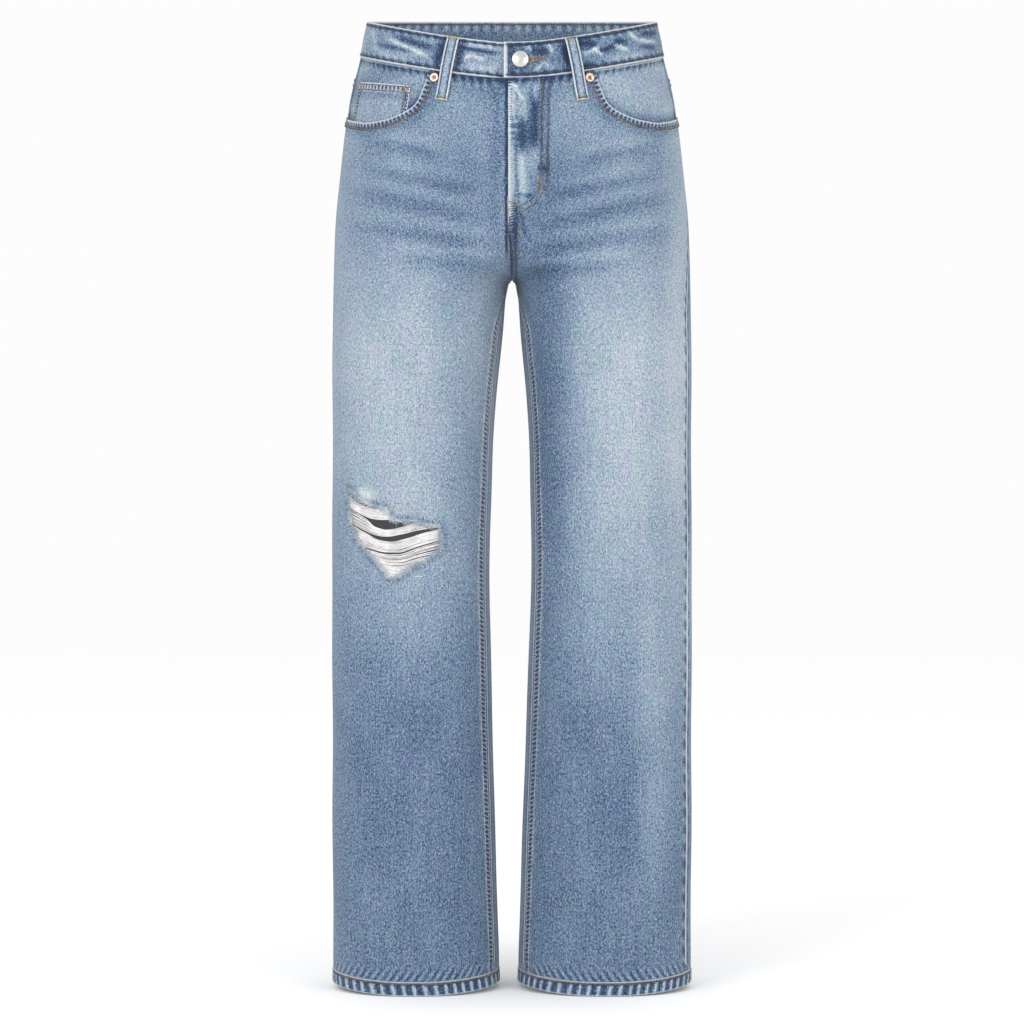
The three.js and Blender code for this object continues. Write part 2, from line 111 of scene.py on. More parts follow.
# (s, size) stations: half the width, the depths before and behind the middle plane, half the gap between legs.
HALF_WIDTH = [(0, 153), (38, 161), (75, 170), (110, 176), (160, 182), (230, 188), (300, 190), (640, 191),
              (OUTSEAM, 190)]
FRONT_DEPTH = [(0, 98), (40, 103), (110, 112), (180, 116), (RISE, 111), (360, 98), (460, 86), (560, 79),
               (720, 75), (OUTSEAM, 73)]
BACK_DEPTH = [(0, 102), (40, 107), (110, 118), (190, 127), (RISE, 124), (360, 107), (460, 93), (560, 84),
              (720, 79), (OUTSEAM, 76)]
LEG_GAP = [(RISE, 0), (280, 4.8), (330, 9), (400, 16), (470, 20), (560, 22), (660, 20.5), (780, 17), (900, 13),
           (OUTSEAM, 10)]
BODY_SQUARENESS, LEG_SQUARENESS = 2.35, 2.2
FRONT_CURVE, BACK_CURVE = 85, 130  # how far above the crotch the valley between the legs begins
VALLEY = (30, 95)  # how far out from the centre the valley's sides run
# The legs lean a little to one side, and the seams wander forwards on their way down.
LEAN = [(RISE, 0), (500, 1.3), (900, 3.7), (OUTSEAM, 3.7)]
INSEAM_FORWARD, INSEAM_SETTLES = 0.057, 60
OUTSEAM_FORWARD, OUTSEAM_TWISTS = 0.065, (130, 330)


def along(stations, distance):
    """A smooth curve through (distance, value) stations that never swings past them."""
    d, v = np.array(stations, float).T
    slope = np.diff(v) / np.diff(d)
    product, total = slope[:-1] * slope[1:], slope[:-1] + slope[1:]
    inner = np.where(product > 0, 2 * product / np.where(product > 0, total, 1), 0)
    tangent = np.concatenate([slope[:1], inner, slope[-1:]])
    at = np.clip(distance, d[0], d[-1])
    k = np.clip(np.searchsorted(d, at) - 1, 0, len(d) - 2)
    step = d[k + 1] - d[k]
    q = (at - d[k]) / step
    rise = (2 * q**3 - 3 * q**2 + 1) * v[k] + (3 * q**2 - 2 * q**3) * v[k + 1]
    return rise + (q**3 - 2 * q**2 + q) * step * tangent[k] + (q**3 - q**2) * step * tangent[k + 1]


def ease(low, high, value):
    """A smooth step from 0 at low to 1 at high; low may be the larger of the two."""
    q = np.clip((np.asarray(value, float) - low) / (high - low), 0, 1)
    return q * q * (3 - 2 * q)


def mix(a, b, share):
    return a + (b - a) * share


def bell(value, centre, width):
    """1 at the centre, falling off smoothly over the width on both sides."""
    return np.exp(-(((value - centre) / width) ** 2))


def section_depth(x, s, back):
    """How far the surface stands in front of or behind the middle plane, x out from the centre."""
    half, gap = along(HALF_WIDTH, s), np.where(s > RISE, along(LEG_GAP, s), 0)
    middle, radius = (half + gap) / 2, (half - gap) / 2

    def arch(u, power):
        return np.clip(1 - np.clip(u, 0, 1) ** power, 0, 1) ** (1 / power)

    body, leg = arch(x / half, BODY_SQUARENESS), arch(np.abs(x - middle) / radius, LEG_SQUARENESS)
    curve = np.where(back, BACK_CURVE, FRONT_CURVE)
    down = np.clip((s - RISE + curve) / curve, 0, 1)
    legness = mix(1 - np.sqrt(1 - down * down), ease(110, RISE, s), ease(*VALLEY, x))
    legness = np.where(s >= RISE, 1, legness)
    return np.where(back, along(BACK_DEPTH, s), along(FRONT_DEPTH, s)) * mix(body, leg, legness)


def line_height(t, s):
    """Height of a line drawn round the garment, which dips in front and climbs behind at the waist."""
    tilt = WAIST_TILT * np.abs(np.cos(np.pi * t)) ** 0.85
    outwards = np.hypot(np.sin(np.pi * t), SAG_ROUNDING) - SAG_ROUNDING
    sag = WAIST_SAG * (1 - outwards / (np.hypot(1, SAG_ROUNDING) - SAG_ROUNDING))
    waist = np.where(t < 0.5, -tilt - sag, tilt) * (1 - ease(55, 235, s))
    hem = np.where(t < 0.5, -6, -3) * np.sin(2 * np.pi * t) ** 2 * ease(900, OUTSEAM, s)
    return -s + waist + hem


def half_point(t, s):
    """A point of the left half; places before 0 and past 1 run on round the leg, or over the centre line."""
    t, s = np.broadcast_arrays(np.asarray(t, float), np.asarray(s, float))
    leg, low, high = s >= RISE, t < 0, t > 1
    t = np.where(low, np.where(leg, t + 1, -t), np.where(high, np.where(leg, t - 1, 2 - t), t))
    half, gap = along(HALF_WIDTH, s), np.where(s > RISE, along(LEG_GAP, s), 0)
    turn = np.cos(2 * np.pi * t)
    on_body = half * np.clip(np.sin(np.pi * t), 0, 1) ** (2 / BODY_SQUARENESS)
    on_leg = (half + gap) / 2 - (half - gap) / 2 * np.sign(turn) * np.abs(turn) ** (2 / LEG_SQUARENESS)
    x, back = mix(on_body, on_leg, ease(90, RISE, s)), t >= 0.5
    y = np.where(back, 1, -1) * section_depth(x, s, back)
    return np.stack([np.where((low | high) & ~leg, -x, x), y, line_height(t, s)], -1)


def bare_point(side, t, s):
    """A point of the uncreased surface; the seams wander forwards down the leg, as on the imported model."""
    towards_inseam = np.abs(1 - 2 * np.asarray(t, float))
    inseam = INSEAM_FORWARD * ease(RISE, RISE + INSEAM_SETTLES, s) * towards_inseam
    outseam = OUTSEAM_FORWARD * ease(*OUTSEAM_TWISTS, s) * (1 - towards_inseam) if side > 0 else 0
    point = half_point(t + inseam - outseam, s)
    point[..., 0] *= side
    point[..., 0] -= along(LEAN, s) * (1 - np.clip(np.abs(point[..., 0]) / along(HALF_WIDTH, s), 0, 1))
    return point


def outward(side, t, s):
    """The surface's own direction there, pointing out of the garment."""
    across = bare_point(side, t + 0.002, s) - bare_point(side, t - 0.002, s)
    down = bare_point(side, t, s + 0.8) - bare_point(side, t, s - 0.8)
    normal = np.cross(across, down) * -side
    return normal / np.linalg.norm(normal, axis=-1, keepdims=True)


depths = along(FRONT_DEPTH, np.array([0, RISE, OUTSEAM]))
print("waist, crotch and hem stand", depths, "mm before the middle")

# %% [markdown]
# ## Creases
# Cloth over a body is never smooth. Each crease is a soft trough, given as a line on the front
# or the back with a width and a depth. The front ones are the whiskers at the hips and the slack at the
# crotch; the hidden back has similar ones below the seat and behind the knees.

# %% Creases
# (x and s at one end, x and s at the other, half width, depth), with x out from the centre. The left
# side's are LEFT_SLIP lower, so that the two sides are not twins.
LEFT_SLIP = 6
HIP_CREASES = [
    (146, 138, 70, 155, 6, 1.2), (148, 170, 38, 192, 7, 1.4), (166, 188, 33, 222, 8, 1.6),
    (165, 226, 18, 250, 8, 1.3), (120, 262, 8, 268, 7, 1.0),
]
KNEE_CREASES = [(150, 600, 60, 620, 14, 0.8), (140, 660, 50, 640, 16, 0.8), (60, 520, 130, 540, 16, 0.6)]
LEG_CREASES = [(62, 300, 75, 470, 12, 0.9), (150, 330, 140, 520, 14, 0.7), (80, 700, 95, 960, 16, 0.7),
               (140, 760, 128, 980, 15, 0.7), (45, 820, 52, 990, 12, 0.6)]
FRONT_CREASES = HIP_CREASES + KNEE_CREASES + LEG_CREASES
SEAT_CREASES = [(30, 262, 150, 300, 9, 2.0), (25, 285, 140, 335, 10, 1.8), (30, 315, 120, 372, 10, 1.2),
                (60, 560, 160, 590, 14, 1.6), (50, 610, 150, 600, 14, 1.6), (70, 660, 165, 640, 15, 1.2),
                (60, 720, 90, 960, 18, 0.9)]


def crease_line(x, s, line):
    """1 on a crease's line, falling off across its width and towards its ends."""
    x0, s0, x1, s1, width, _ = line
    run = np.array([x1 - x0, s1 - s0], float)
    share = ((x - x0) * run[0] + (s - s0) * run[1]) / (run @ run)
    off = np.hypot(x - x0 - run[0] * share, s - s0 - run[1] * share)
    return bell(off, 0, width) * ease(-0.12, 0.25, share) * ease(-0.12, 0.25, 1 - share)


def relief(point):
    """How far the creased cloth lies outside the smooth surface, for points of that surface."""
    x, s, front = np.abs(point[..., 0]), -point[..., 2], point[..., 1] < 0
    slip = np.where(point[..., 0] > 0, LEFT_SLIP, 0)
    height = 0.5 * np.sin(s / 31 + x / 22) * np.sin(x / 37 + s / 140)
    for line in FRONT_CREASES:
        height -= np.where(front, line[5] * crease_line(x, s - slip, line), 0)
        height += np.where(front, 0.5 * line[5] * crease_line(x, s - slip + 1.7 * line[4], line), 0)
    for line in SEAT_CREASES:
        height -= np.where(front, 0, line[5] * crease_line(x, s, line))
    return height * ease(30, 75, s) * (1 - ease(985, 1010, s))


def cloth(side, t, s, out=0.0):
    """A point of the creased cloth, moved out along the surface's own direction."""
    base = bare_point(side, t, s)
    lift = np.asarray(out + relief(base))
    return base + outward(side, t, s) * lift[..., None]


def place_at(side, x, s, centre=0.0):
    """The place whose point is x out from the centre line, on the front (centre 0) or the back (centre 1)."""
    x, s = np.broadcast_arrays(np.asarray(x, float), np.asarray(s, float))
    inner, outer = np.full(x.shape, float(centre)), np.full(x.shape, 0.5)
    for _ in range(30):
        middle = (inner + outer) / 2
        near = side * bare_point(side, middle, s)[..., 0] < x
        inner, outer = np.where(near, middle, inner), np.where(near, outer, middle)
    return (inner + outer) / 2


print(len(FRONT_CREASES), "creases on each front,", len(SEAT_CREASES), "on each back")

# %% [markdown]
# ## The flat cut and lines drawn on it
# A tailor thinks of a piece laid flat. `flat` turns a place into millimetres across and down the flat
# cut, which gives the weave its coordinates and lets a row of stitches keep its distance from an edge.

# %% The flat cut
FRONT, BACK = 0.25, 0.75  # the places that the flat cuts of the front and back pieces are measured from


def flat(side, t, s, middle):
    """Where a place lies on the flat cut: across from the middle of the leg, and down from the waist."""
    t, s = np.broadcast_arrays(np.asarray(t, float), np.asarray(s, float))
    steps = np.linspace(0, 1, 21).reshape((-1,) + (1,) * t.ndim)
    points = bare_point(side, mix(middle, t, steps), np.broadcast_to(s, (21,) + s.shape))
    lengths = np.linalg.norm(np.diff(points, axis=0), axis=-1).sum(0)
    return np.stack([np.sign(t - middle) * lengths, s], -1)


def offset_line(side, t, s, distance, middle=FRONT):
    """The line of places at a distance beside a line of places, to the right of its way as drawn flat."""
    line = flat(side, t, s, middle)
    run = np.gradient(line, axis=0)
    run /= np.linalg.norm(run, axis=-1, keepdims=True)
    speed = np.linalg.norm(bare_point(side, t + 0.001, s) - bare_point(side, t - 0.001, s), axis=-1) / 0.002
    return t - distance * run[..., 1] / speed, s + distance * run[..., 0]


def distance_to(line, points):
    """How far flat points are from a flat line, and how far along it they lie."""
    start, step = line[:-1], np.diff(line, axis=0)
    length = np.linalg.norm(step, axis=1)
    at = np.concatenate([[0], np.cumsum(length)[:-1]])
    shares = ((points[:, None] - start) * step).sum(-1) / np.maximum(length**2, 1e-9)
    shares = np.clip(shares, 0, 1)
    gaps = np.linalg.norm(points[:, None] - start - shares[..., None] * step, axis=-1)
    nearest = gaps.argmin(1)
    rows = np.arange(len(points))
    return gaps[rows, nearest], at[nearest] + shares[rows, nearest] * length[nearest]


print("half hip on the flat:", flat(-1, 0.5, 200.0, 0.0)[..., 0].round(1), "mm")

# %% [markdown]
# ## Sheets
# Denim is a thin wall with a face, a reverse and a cut or folded rim. A sheet is made from its outer
# points and their directions: the reverse is a second layer, and a rim with a rounded middle joins them.
# Numbers that the finish needs are kept on the points: how faded the cloth is, with painted shade and
# painted light added in places, how far the nearest edge is, the phase and strength of the ribs along that
# edge, and which points are on the reverse.

# %% Making sheets
SHEET_NUMBERS = ("fade", "edge", "phase", "rope", "reverse")
NO_EDGE = 60.0  # the edge number far from every edge, in millimetres


def keep_on_points(mesh, numbers):
    """Keeps named numbers on a mesh's points, where a finish or a tree reads them."""
    for word, values in numbers.items():
        kept = mesh.attributes.new(word, "FLOAT", "POINT")
        kept.data.foreach_set("value", np.asarray(values, np.float32))


def put_mesh(name, points, faces, uv=None, numbers=None, sharp=40):
    """A mesh object from points in millimetres, with a map in metres and numbers on its points."""
    mesh = bpy.data.meshes.new(name)
    mesh.from_pydata((np.asarray(points) * MM).tolist(), [], [list(map(int, f)) for f in faces])
    mesh.polygons.foreach_set("use_smooth", np.ones(len(mesh.polygons), bool))
    if uv is not None:
        corners = np.empty(len(mesh.loops), np.int32)
        mesh.loops.foreach_get("vertex_index", corners)
        layer = mesh.uv_layers.new(name="UVMap")
        layer.data.foreach_set("uv", (np.asarray(uv)[corners] * MM).astype(np.float32).ravel())
    keep_on_points(mesh, numbers or {})
    mesh.set_sharp_from_angle(angle=math.radians(sharp))
    return put(name, mesh)


def grid_faces(rows, columns, around=False):
    """The four corners of each cell of a grid of points; `around` joins its last column to its first."""
    r, c = np.meshgrid(np.arange(rows - 1), np.arange(columns if around else columns - 1), indexing="ij")
    c2 = (c + 1) % columns
    here, below = r * columns, (r + 1) * columns
    return np.stack([here + c, below + c, below + c2, here + c2], -1).reshape(-1, 4)


def free_edges(faces):
    """The directed edges of faces that have no neighbour."""
    edges = np.concatenate([np.stack([faces[:, i], faces[:, (i + 1) % 4]], 1) for i in range(4)])
    size = int(edges.max()) + 1
    keys, back = edges[:, 0] * size + edges[:, 1], edges[:, 1] * size + edges[:, 0]
    return edges[~np.isin(keys, back)]


def sheet(name, points, normals, uv, numbers, thickness=1.2, keep=None, bulge=0.3, inset=0.4):
    """A wall of cloth from a grid of outer points. `keep` marks the cells that are there."""
    rows, columns = points.shape[:2]
    points, normals = points.reshape(-1, 3).copy(), normals.reshape(-1, 3)
    faces = grid_faces(rows, columns)
    if keep is not None:
        faces = faces[keep.reshape(-1)]
    corner = points[faces]
    facing = np.cross(corner[:, 2] - corner[:, 0], corner[:, 3] - corner[:, 1])
    if (facing * normals[faces[:, 0]]).sum() < 0:
        faces = faces[:, ::-1]
    rim = free_edges(faces)
    away = np.zeros_like(points)
    step = points[rim[:, 1]] - points[rim[:, 0]]
    step /= np.maximum(np.linalg.norm(step, axis=1, keepdims=True), 1e-6)
    side_of = np.cross(step, normals[rim[:, 0]])
    np.add.at(away, rim[:, 0], side_of)
    np.add.at(away, rim[:, 1], side_of)
    on_rim = np.unique(rim)
    away[on_rim] /= np.maximum(np.linalg.norm(away[on_rim], axis=1, keepdims=True), 1e-6)
    points[on_rim] -= away[on_rim] * inset
    used = np.unique(faces)
    number_of = np.full(len(points), -1)
    number_of[used] = np.arange(len(used))
    count = len(used)
    outer, inner = points[used], points[used] - normals[used] * thickness
    middle = points[on_rim] - normals[on_rim] * thickness / 2 + away[on_rim] * bulge
    rim_number = np.full(len(points), -1)
    rim_number[on_rim] = 2 * count + np.arange(len(on_rim))
    face, a, b = number_of[faces], rim[:, 0], rim[:, 1]
    oa, ob, ma, mb = number_of[a], number_of[b], rim_number[a], rim_number[b]
    walls = [np.stack([ob, oa, ma, mb], 1), np.stack([mb, ma, oa + count, ob + count], 1)]
    every = np.concatenate([used, used, on_rim])
    kept = {word: np.broadcast_to(numbers[word], (rows, columns)).reshape(-1)[every] for word in numbers}
    kept["reverse"] = np.concatenate([np.zeros(count), np.ones(count), np.full(len(on_rim), 0.3)])
    return put_mesh(name, np.concatenate([outer, inner, middle]),
                    np.concatenate([face, face[:, ::-1] + count, *walls]),
                    uv.reshape(-1, 2)[every], kept)


def seam_numbers(flat_points, fade, lines):
    """The numbers for a grid: lines are (flat line, rib pitch, rib reach, rib strength, slant)."""
    shape = flat_points.shape[:2]
    points = flat_points.reshape(-1, 2)
    edge, phase, rope = np.full(len(points), NO_EDGE), np.zeros(len(points)), np.zeros(len(points))
    for line, pitch, reach, strength, slant in lines:
        gap, at = distance_to(line, points)
        near = gap < edge
        edge = np.where(near, gap, edge)
        phase = np.where(near, (at + slant * gap) * 2 * np.pi / pitch, phase)
        rope = np.where(near, strength * (1 - ease(0.35 * reach, reach, gap)), rope)
    return {"fade": fade, "edge": edge.reshape(shape), "phase": phase.reshape(shape),
            "rope": rope.reshape(shape), "reverse": 0.0}


print("numbers kept on a sheet's points:", ", ".join(SHEET_NUMBERS))

# %% [markdown]
# ## Shader maths in Python
# A node tree is easier to read as a sum than as a picture. `Value` wraps one output of a node, so
# `1 - mask * 0.5` adds the Math nodes that say it. `Finish` makes a material and adds every other node.

# %% Shader maths
class Value:
    """One output of a node in a finish."""

    def __init__(self, finish, socket):
        self.finish = finish
        self.socket = socket

    def math(self, operation, *others):
        return self.finish.node("ShaderNodeMath", {"operation": operation}, dict(enumerate([self, *others])))

    def swapped(self, operation, first):
        return self.finish.node("ShaderNodeMath", {"operation": operation}, {0: first, 1: self})

    def __add__(self, other):
        return self.math("ADD", other)

    __radd__ = __add__

    def __mul__(self, other):
        return self.math("MULTIPLY", other)

    __rmul__ = __mul__

    def __sub__(self, other):
        return self.math("SUBTRACT", other)

    def __rsub__(self, first):
        return self.swapped("SUBTRACT", first)

    def sine(self):
        return self.math("SINE")

    def ease(self, low, high):
        """0 up to low and 1 from high on, or the other way round where high is below low."""
        start, end = (0.0, 1.0) if low < high else (1.0, 0.0)
        ends = {"From Min": min(low, high), "From Max": max(low, high), "To Min": start, "To Max": end}
        settings = {"interpolation_type": "SMOOTHSTEP"}
        return self.finish.node("ShaderNodeMapRange", settings, {"Value": self, **ends})


class Finish:
    """A material whose nodes are added one at a time."""

    def __init__(self, name):
        self.material = bpy.data.materials.new(name)
        self.material.use_nodes = True
        self.tree = self.material.node_tree
        self.shader = self.tree.nodes["Principled BSDF"]

    def node(self, kind, settings=None, inputs=None, output=0):
        made = self.tree.nodes.new(kind)
        for word, setting in (settings or {}).items():
            setattr(made, word, setting)
        for word, value in (inputs or {}).items():
            self.feed(made.inputs[word], value)
        return Value(self, made.outputs[output])

    def feed(self, socket, value):
        if isinstance(value, Value):
            self.tree.links.new(value.socket, socket)
        else:
            socket.default_value = value

    def number(self, word):
        return self.node("ShaderNodeAttribute", {"attribute_name": word}, output="Fac")

    def place(self, scale):
        """The piece's own map in millimetres, stretched by a scale across and down."""
        uv = self.node("ShaderNodeUVMap", {"uv_map": "UVMap"})
        factors = (scale[0] / MM, scale[1] / MM, 1)
        return self.node("ShaderNodeVectorMath", {"operation": "MULTIPLY"}, {0: uv, 1: factors})

    def grain(self, scale, detail):
        """Noise about zero in the round, for pieces without a map."""
        place = self.node("ShaderNodeTexCoord", output="Object")
        return self.node("ShaderNodeTexNoise", {}, {"Vector": place, "Scale": scale, "Detail": detail}) - 0.5

    def noise(self, vector, detail=2.0, warp=0.0, rough=0.5):
        """Noise about zero, with features one unit of the vector apart."""
        values = {"Vector": vector, "Scale": 1.0, "Detail": detail, "Roughness": rough, "Distortion": warp}
        return self.node("ShaderNodeTexNoise", {"noise_dimensions": "2D"}, values) - 0.5

    def ramp(self, value, stops):
        """A colour from a value, through (position, colour) stops."""
        made = self.node("ShaderNodeValToRGB", {}, {0: value})
        ramp = made.socket.node.color_ramp
        while len(ramp.elements) < len(stops):
            ramp.elements.new(0.5)
        for element, (position, colour) in zip(ramp.elements, stops):
            element.position = position
            element.color = colour
        return made

    def blend(self, share, first, second, way="MIX"):
        settings = {"data_type": "RGBA", "blend_type": way}
        return self.node("ShaderNodeMix", settings, {0: share, 6: first, 7: second}, output=2)

    def bump(self, height, strength=1.0):
        """A normal from a height in millimetres."""
        return self.node("ShaderNodeBump", {}, {"Height": height, "Distance": MM, "Strength": strength})

    def set(self, **values):
        for word, value in values.items():
            self.feed(self.shader.inputs[word.replace("_", " ")], value)
        return self.material


LIGHT_GAIN = 1.35  # how much brighter than its own colour a front face shows in the studio light


def tone(red, green, blue):
    """The surface colour that shows as this display colour in the studio light."""
    linear = [(c / 255 / 12.92 if c < 10 else ((c / 255 + 0.055) / 1.055) ** 2.4) for c in (red, green, blue)]
    return tuple(c / LIGHT_GAIN for c in linear) + (1.0,)


print("a mid-blue denim face is", [round(c, 3) for c in tone(115, 135, 160)[:3]])

# %% [markdown]
# ## Denim
# Denim is woven from blue warp threads that run down the leg and bare weft threads across it. Washing
# takes the blue off the high spots, so the colour is one number, the fade, looked up in a row of tones
# from deep indigo to bare cotton. Grain at several sizes, ribs along the seams and rubbed edges all move
# that number, and so does a painted shade in a line just inside the edges; the same grain is the height of
# the bump. The cloth's reverse also has a faint painted glow.

# %% Denim
DENIM_TONES = [(0.0, tone(38, 58, 90)), (0.2, tone(74, 99, 134)), (0.38, tone(110, 135, 162)),
               (0.55, tone(138, 159, 181)), (0.78, tone(174, 188, 202)), (1.0, tone(205, 214, 221)),
               (1.25, tone(228, 231, 233))]
TOP_TONE = 1.25  # the fade of the last tone
TWILL_PITCH = 1.1
PAINTED_GLOW_INSIDE = 0.045  # strength of a painted glow on the cloth's reverse, which lightens the shaded inside of the legs


def denim(name, rub=0.72, shadow=0.22, ragged_rub=1.8, rib_depth=0.25, crisp=1.0):
    """Washed denim. Rub sets how white its edges are worn, shadow how dark the painted shade is in a line just
    inside them, and crisp ribs are narrow with wide gaps.
    """
    finish = Finish(name)
    fade, edge, rope = finish.number("fade"), finish.number("edge"), finish.number("rope")
    mottle = finish.noise(finish.place((0.6, 0.5)), detail=2, warp=0.5, rough=0.6)
    strokes = finish.noise(finish.place((1.0, 0.3)), detail=2, warp=0.9)
    slubs = finish.noise(finish.place((0.5, 0.018)), detail=2)
    cloud = finish.noise(finish.place((0.022, 0.016)), detail=2)
    place = finish.node("ShaderNodeSeparateXYZ", {}, {0: finish.place((1, 1))})
    down = Value(finish, place.socket.node.outputs[1])
    twill = ((place + down) * (2 * math.pi / TWILL_PITCH)).sine()
    ribs = (finish.number("phase") + mottle * 2.0).sine()
    if crisp > 1:
        ribs = (ribs * 0.5 + 0.5).math("POWER", crisp) * 2 - 1
    rubbed = (edge + mottle * ragged_rub).ease(2.3, 0.5)
    # Painted shade in a line just inside each worn edge.
    beside = (edge + mottle * 2.0).ease(1.5, 3.2) * edge.ease(9.0, 3.4)
    level = fade + mottle * 1.15 + strokes * 0.95 + slubs * 0.22 + cloud * 0.18 + twill * 0.02
    level = level + ribs * rope * rib_depth * (1 - rubbed) + rubbed * rub - beside * shadow
    colour = finish.ramp(level * (1 / TOP_TONE), [(at / TOP_TONE, colour) for at, colour in DENIM_TONES])
    drift = finish.noise(finish.place((0.05, 0.035)), detail=3)
    drift = drift + finish.noise(finish.place((0.3, 0.25)), detail=1) * 0.5
    tinted = finish.blend(drift.ease(-0.16, 0.16), (1.02, 0.975, 1.03, 1), (0.955, 1.015, 0.985, 1))
    colour = finish.blend(1.0, colour, tinted, way="MULTIPLY")
    bare = finish.ramp(mottle + 0.5, [(0.3, tone(140, 156, 178)), (0.7, tone(190, 198, 208))])
    colour = finish.blend(finish.number("reverse").ease(0.35, 0.8), colour, bare)
    # A painted glow on the reverse lightens the shaded inside of the legs; no lamp gives it.
    through = finish.number("reverse").ease(0.7, 0.9) * PAINTED_GLOW_INSIDE
    painted_glow = finish.ramp(through, [(0.0, (0, 0, 0, 1)), (1.0, (1, 1, 1, 1))])
    finish.set(Emission_Color=painted_glow, Emission_Strength=1.0)
    height = mottle * 0.8 + strokes * 0.6 + twill * 0.06 + slubs * 0.3 + ribs * rope * 0.5
    finish.set(Base_Color=colour, Roughness=0.88, Normal=finish.bump(height, 0.45))
    return finish.set(Sheen_Weight=0.12, Sheen_Roughness=0.6, Specular_IOR_Level=0.25)


washed = denim("washed_denim")
band_denim = denim("band_denim", rub=0.9, shadow=0.2, ragged_rub=1.0)
print("denim has", len(washed.node_tree.nodes), "nodes")

# %% [markdown]
# ## How the wash faded each piece
# The thighs, knees and seat are rubbed palest, the inner thighs and calves stay blue, and the creases at
# the hips leave dark lines with pale ridges beside them. Each pale or dark patch is a soft oval. Some are
# painted light instead: the outer edges of the legs and one inner thigh are lifted where shade falls, and
# dark lines beside the fly and in its stitch rows are painted shade.

# %% Fading
FADE_DOWN = [(38, 0.51), (150, 0.46), (240, 0.43), (420, 0.43), (620, 0.38), (760, 0.33), (OUTSEAM, 0.34)]
# (x, s, half width, half height, amount), with x out from the centre.
# The ovals at x 176 and 178 along the outer edges and the one at x 26 on the wearer's right inner thigh are
# painted light that lifts the shade there.
FRONT_FADES_AND_PAINTED_LIGHT = {
    -1: [(117, 385, 66, 140, 0.33), (104, 570, 68, 110, 0.20), (176, 330, 22, 260, 0.08),
         (26, 345, 30, 120, 0.17), (60, 210, 50, 60, -0.06), (110, 120, 60, 50, 0.02), (155, 505, 12, 8, 0.5)],
    1: [(120, 400, 62, 160, 0.36), (112, 615, 56, 120, 0.17), (148, 760, 20, 170, 0.20),
        (178, 400, 20, 360, 0.25), (34, 400, 28, 170, -0.16), (60, 210, 50, 60, -0.08),
        (110, 120, 60, 50, 0.06)],
}
# The fly is rubbed in streaks: (x and depth at one end, x and depth at the other, half width, amount).
# Some dark lines among them are painted shade: in the grooves of the two stitch rows near x 30 and 37,
# and beside the centre seam below the fly.
FLY_STREAKS_AND_PAINTED_SHADE = [
    (0, 81, 10, 82.5, 2, 0.5), (5, 78, 5, 120, 2, 0.6), (6, 82, 13.5, 98, 1.5, 0.5),
    (14, 74, 14, 122, 4.5, 0.2), (23.7, 72, 24, 99, 2, 0.42), (23.5, 90, 22.5, 150, 5, -0.55),
    (12, 114, 12.5, 156, 4.5, -0.45),
    (-1, 121.5, 10.5, 120, 1.3, 0.55), (-1, 128.5, 10, 129, 1.3, 0.55), (-1, 134.5, 7, 135, 1.1, 0.35),
    (4.2, 134, 4.2, 205, 2.2, 0.45), (11.5, 143, 11.5, 205, 4.2, 0.4), (7.3, 138, 7.3, 198, 0.8, -0.3),
    (22, 144, 22, 176, 5, 0.16), (6, 196, 22, 197, 2.2, -0.38), (25, 168, 39, 170, 3.5, -0.3),
    (35, 60, 34, 180, 2.4, -0.12), (32, 60, 29.7, 186, 1.5, -0.32), (38.6, 60, 36.2, 190, 1.5, -0.32),
    (4.4, 216, 4.4, 285, 1.4, -0.35), (-2, 216, -2, 285, 1.2, -0.3), (5, 205, 16, 240, 2.5, -0.2),
]
# A broad painted shade beside the fly on the wearer's right.
PAINTED_SHADE_BESIDE_THE_FLY = [(18, 60, 18, 240, 6, -0.1)]
BACK_FADES = [(92, 205, 62, 75, 0.30), (105, 420, 60, 150, 0.22), (100, 640, 55, 90, 0.1),
              (25, 330, 26, 90, -0.08)]


def oval(x, s, patch):
    cx, cs, rx, rs, amount = patch
    return amount * np.exp(-((((x - cx) / rx) ** 2 + ((s - cs) / rs) ** 2) ** 1.5))


def fade_and_painted_light_of(side, point):
    """How washed out the cloth is at points of the garment, from 0 for indigo to 1 for nearly white, with the
    painted light and shade of the tables above added in.
    """
    x, s, front = point[..., 0] * side, -point[..., 2], point[..., 1] < 0
    fade = along(FADE_DOWN, s)
    for patch in FRONT_FADES_AND_PAINTED_LIGHT[side]:
        fade = fade + np.where(front, oval(x, s, patch), 0)
    for patch in BACK_FADES:
        fade = fade + np.where(front, 0, oval(x, s, patch))
    slip = LEFT_SLIP if side > 0 else 0
    for line in HIP_CREASES:
        fade = fade - np.where(front, 0.115 * crease_line(x, s - slip, line), 0)
        fade = fade + np.where(front, 0.09 * crease_line(x, s - slip + 1.8 * line[4], line), 0)
    for line in SEAT_CREASES:
        fade = fade - np.where(front, 0, 0.1 * crease_line(x, s, line))
        fade = fade + np.where(front, 0, 0.1 * crease_line(x, s + 1.6 * line[4], line))
    for line in (FLY_STREAKS_AND_PAINTED_SHADE if side > 0 else PAINTED_SHADE_BESIDE_THE_FLY):
        fade = fade + np.where(front, line[5] * crease_line(x, s, line), 0)
    return fade


thigh, calf = (-117, -80, -385), (-100, -75, -900.0)
print("fade at the thigh and the calf:", fade_and_painted_light_of(-1, np.array([thigh, calf])).round(2))

# %% [markdown]
# ## Leg panels
# A jeans leg is one front panel and one back panel. Each is a fine grid between its seams: columns at
# equal distances round the leg, and rows that follow the curved top edge and then lie level.

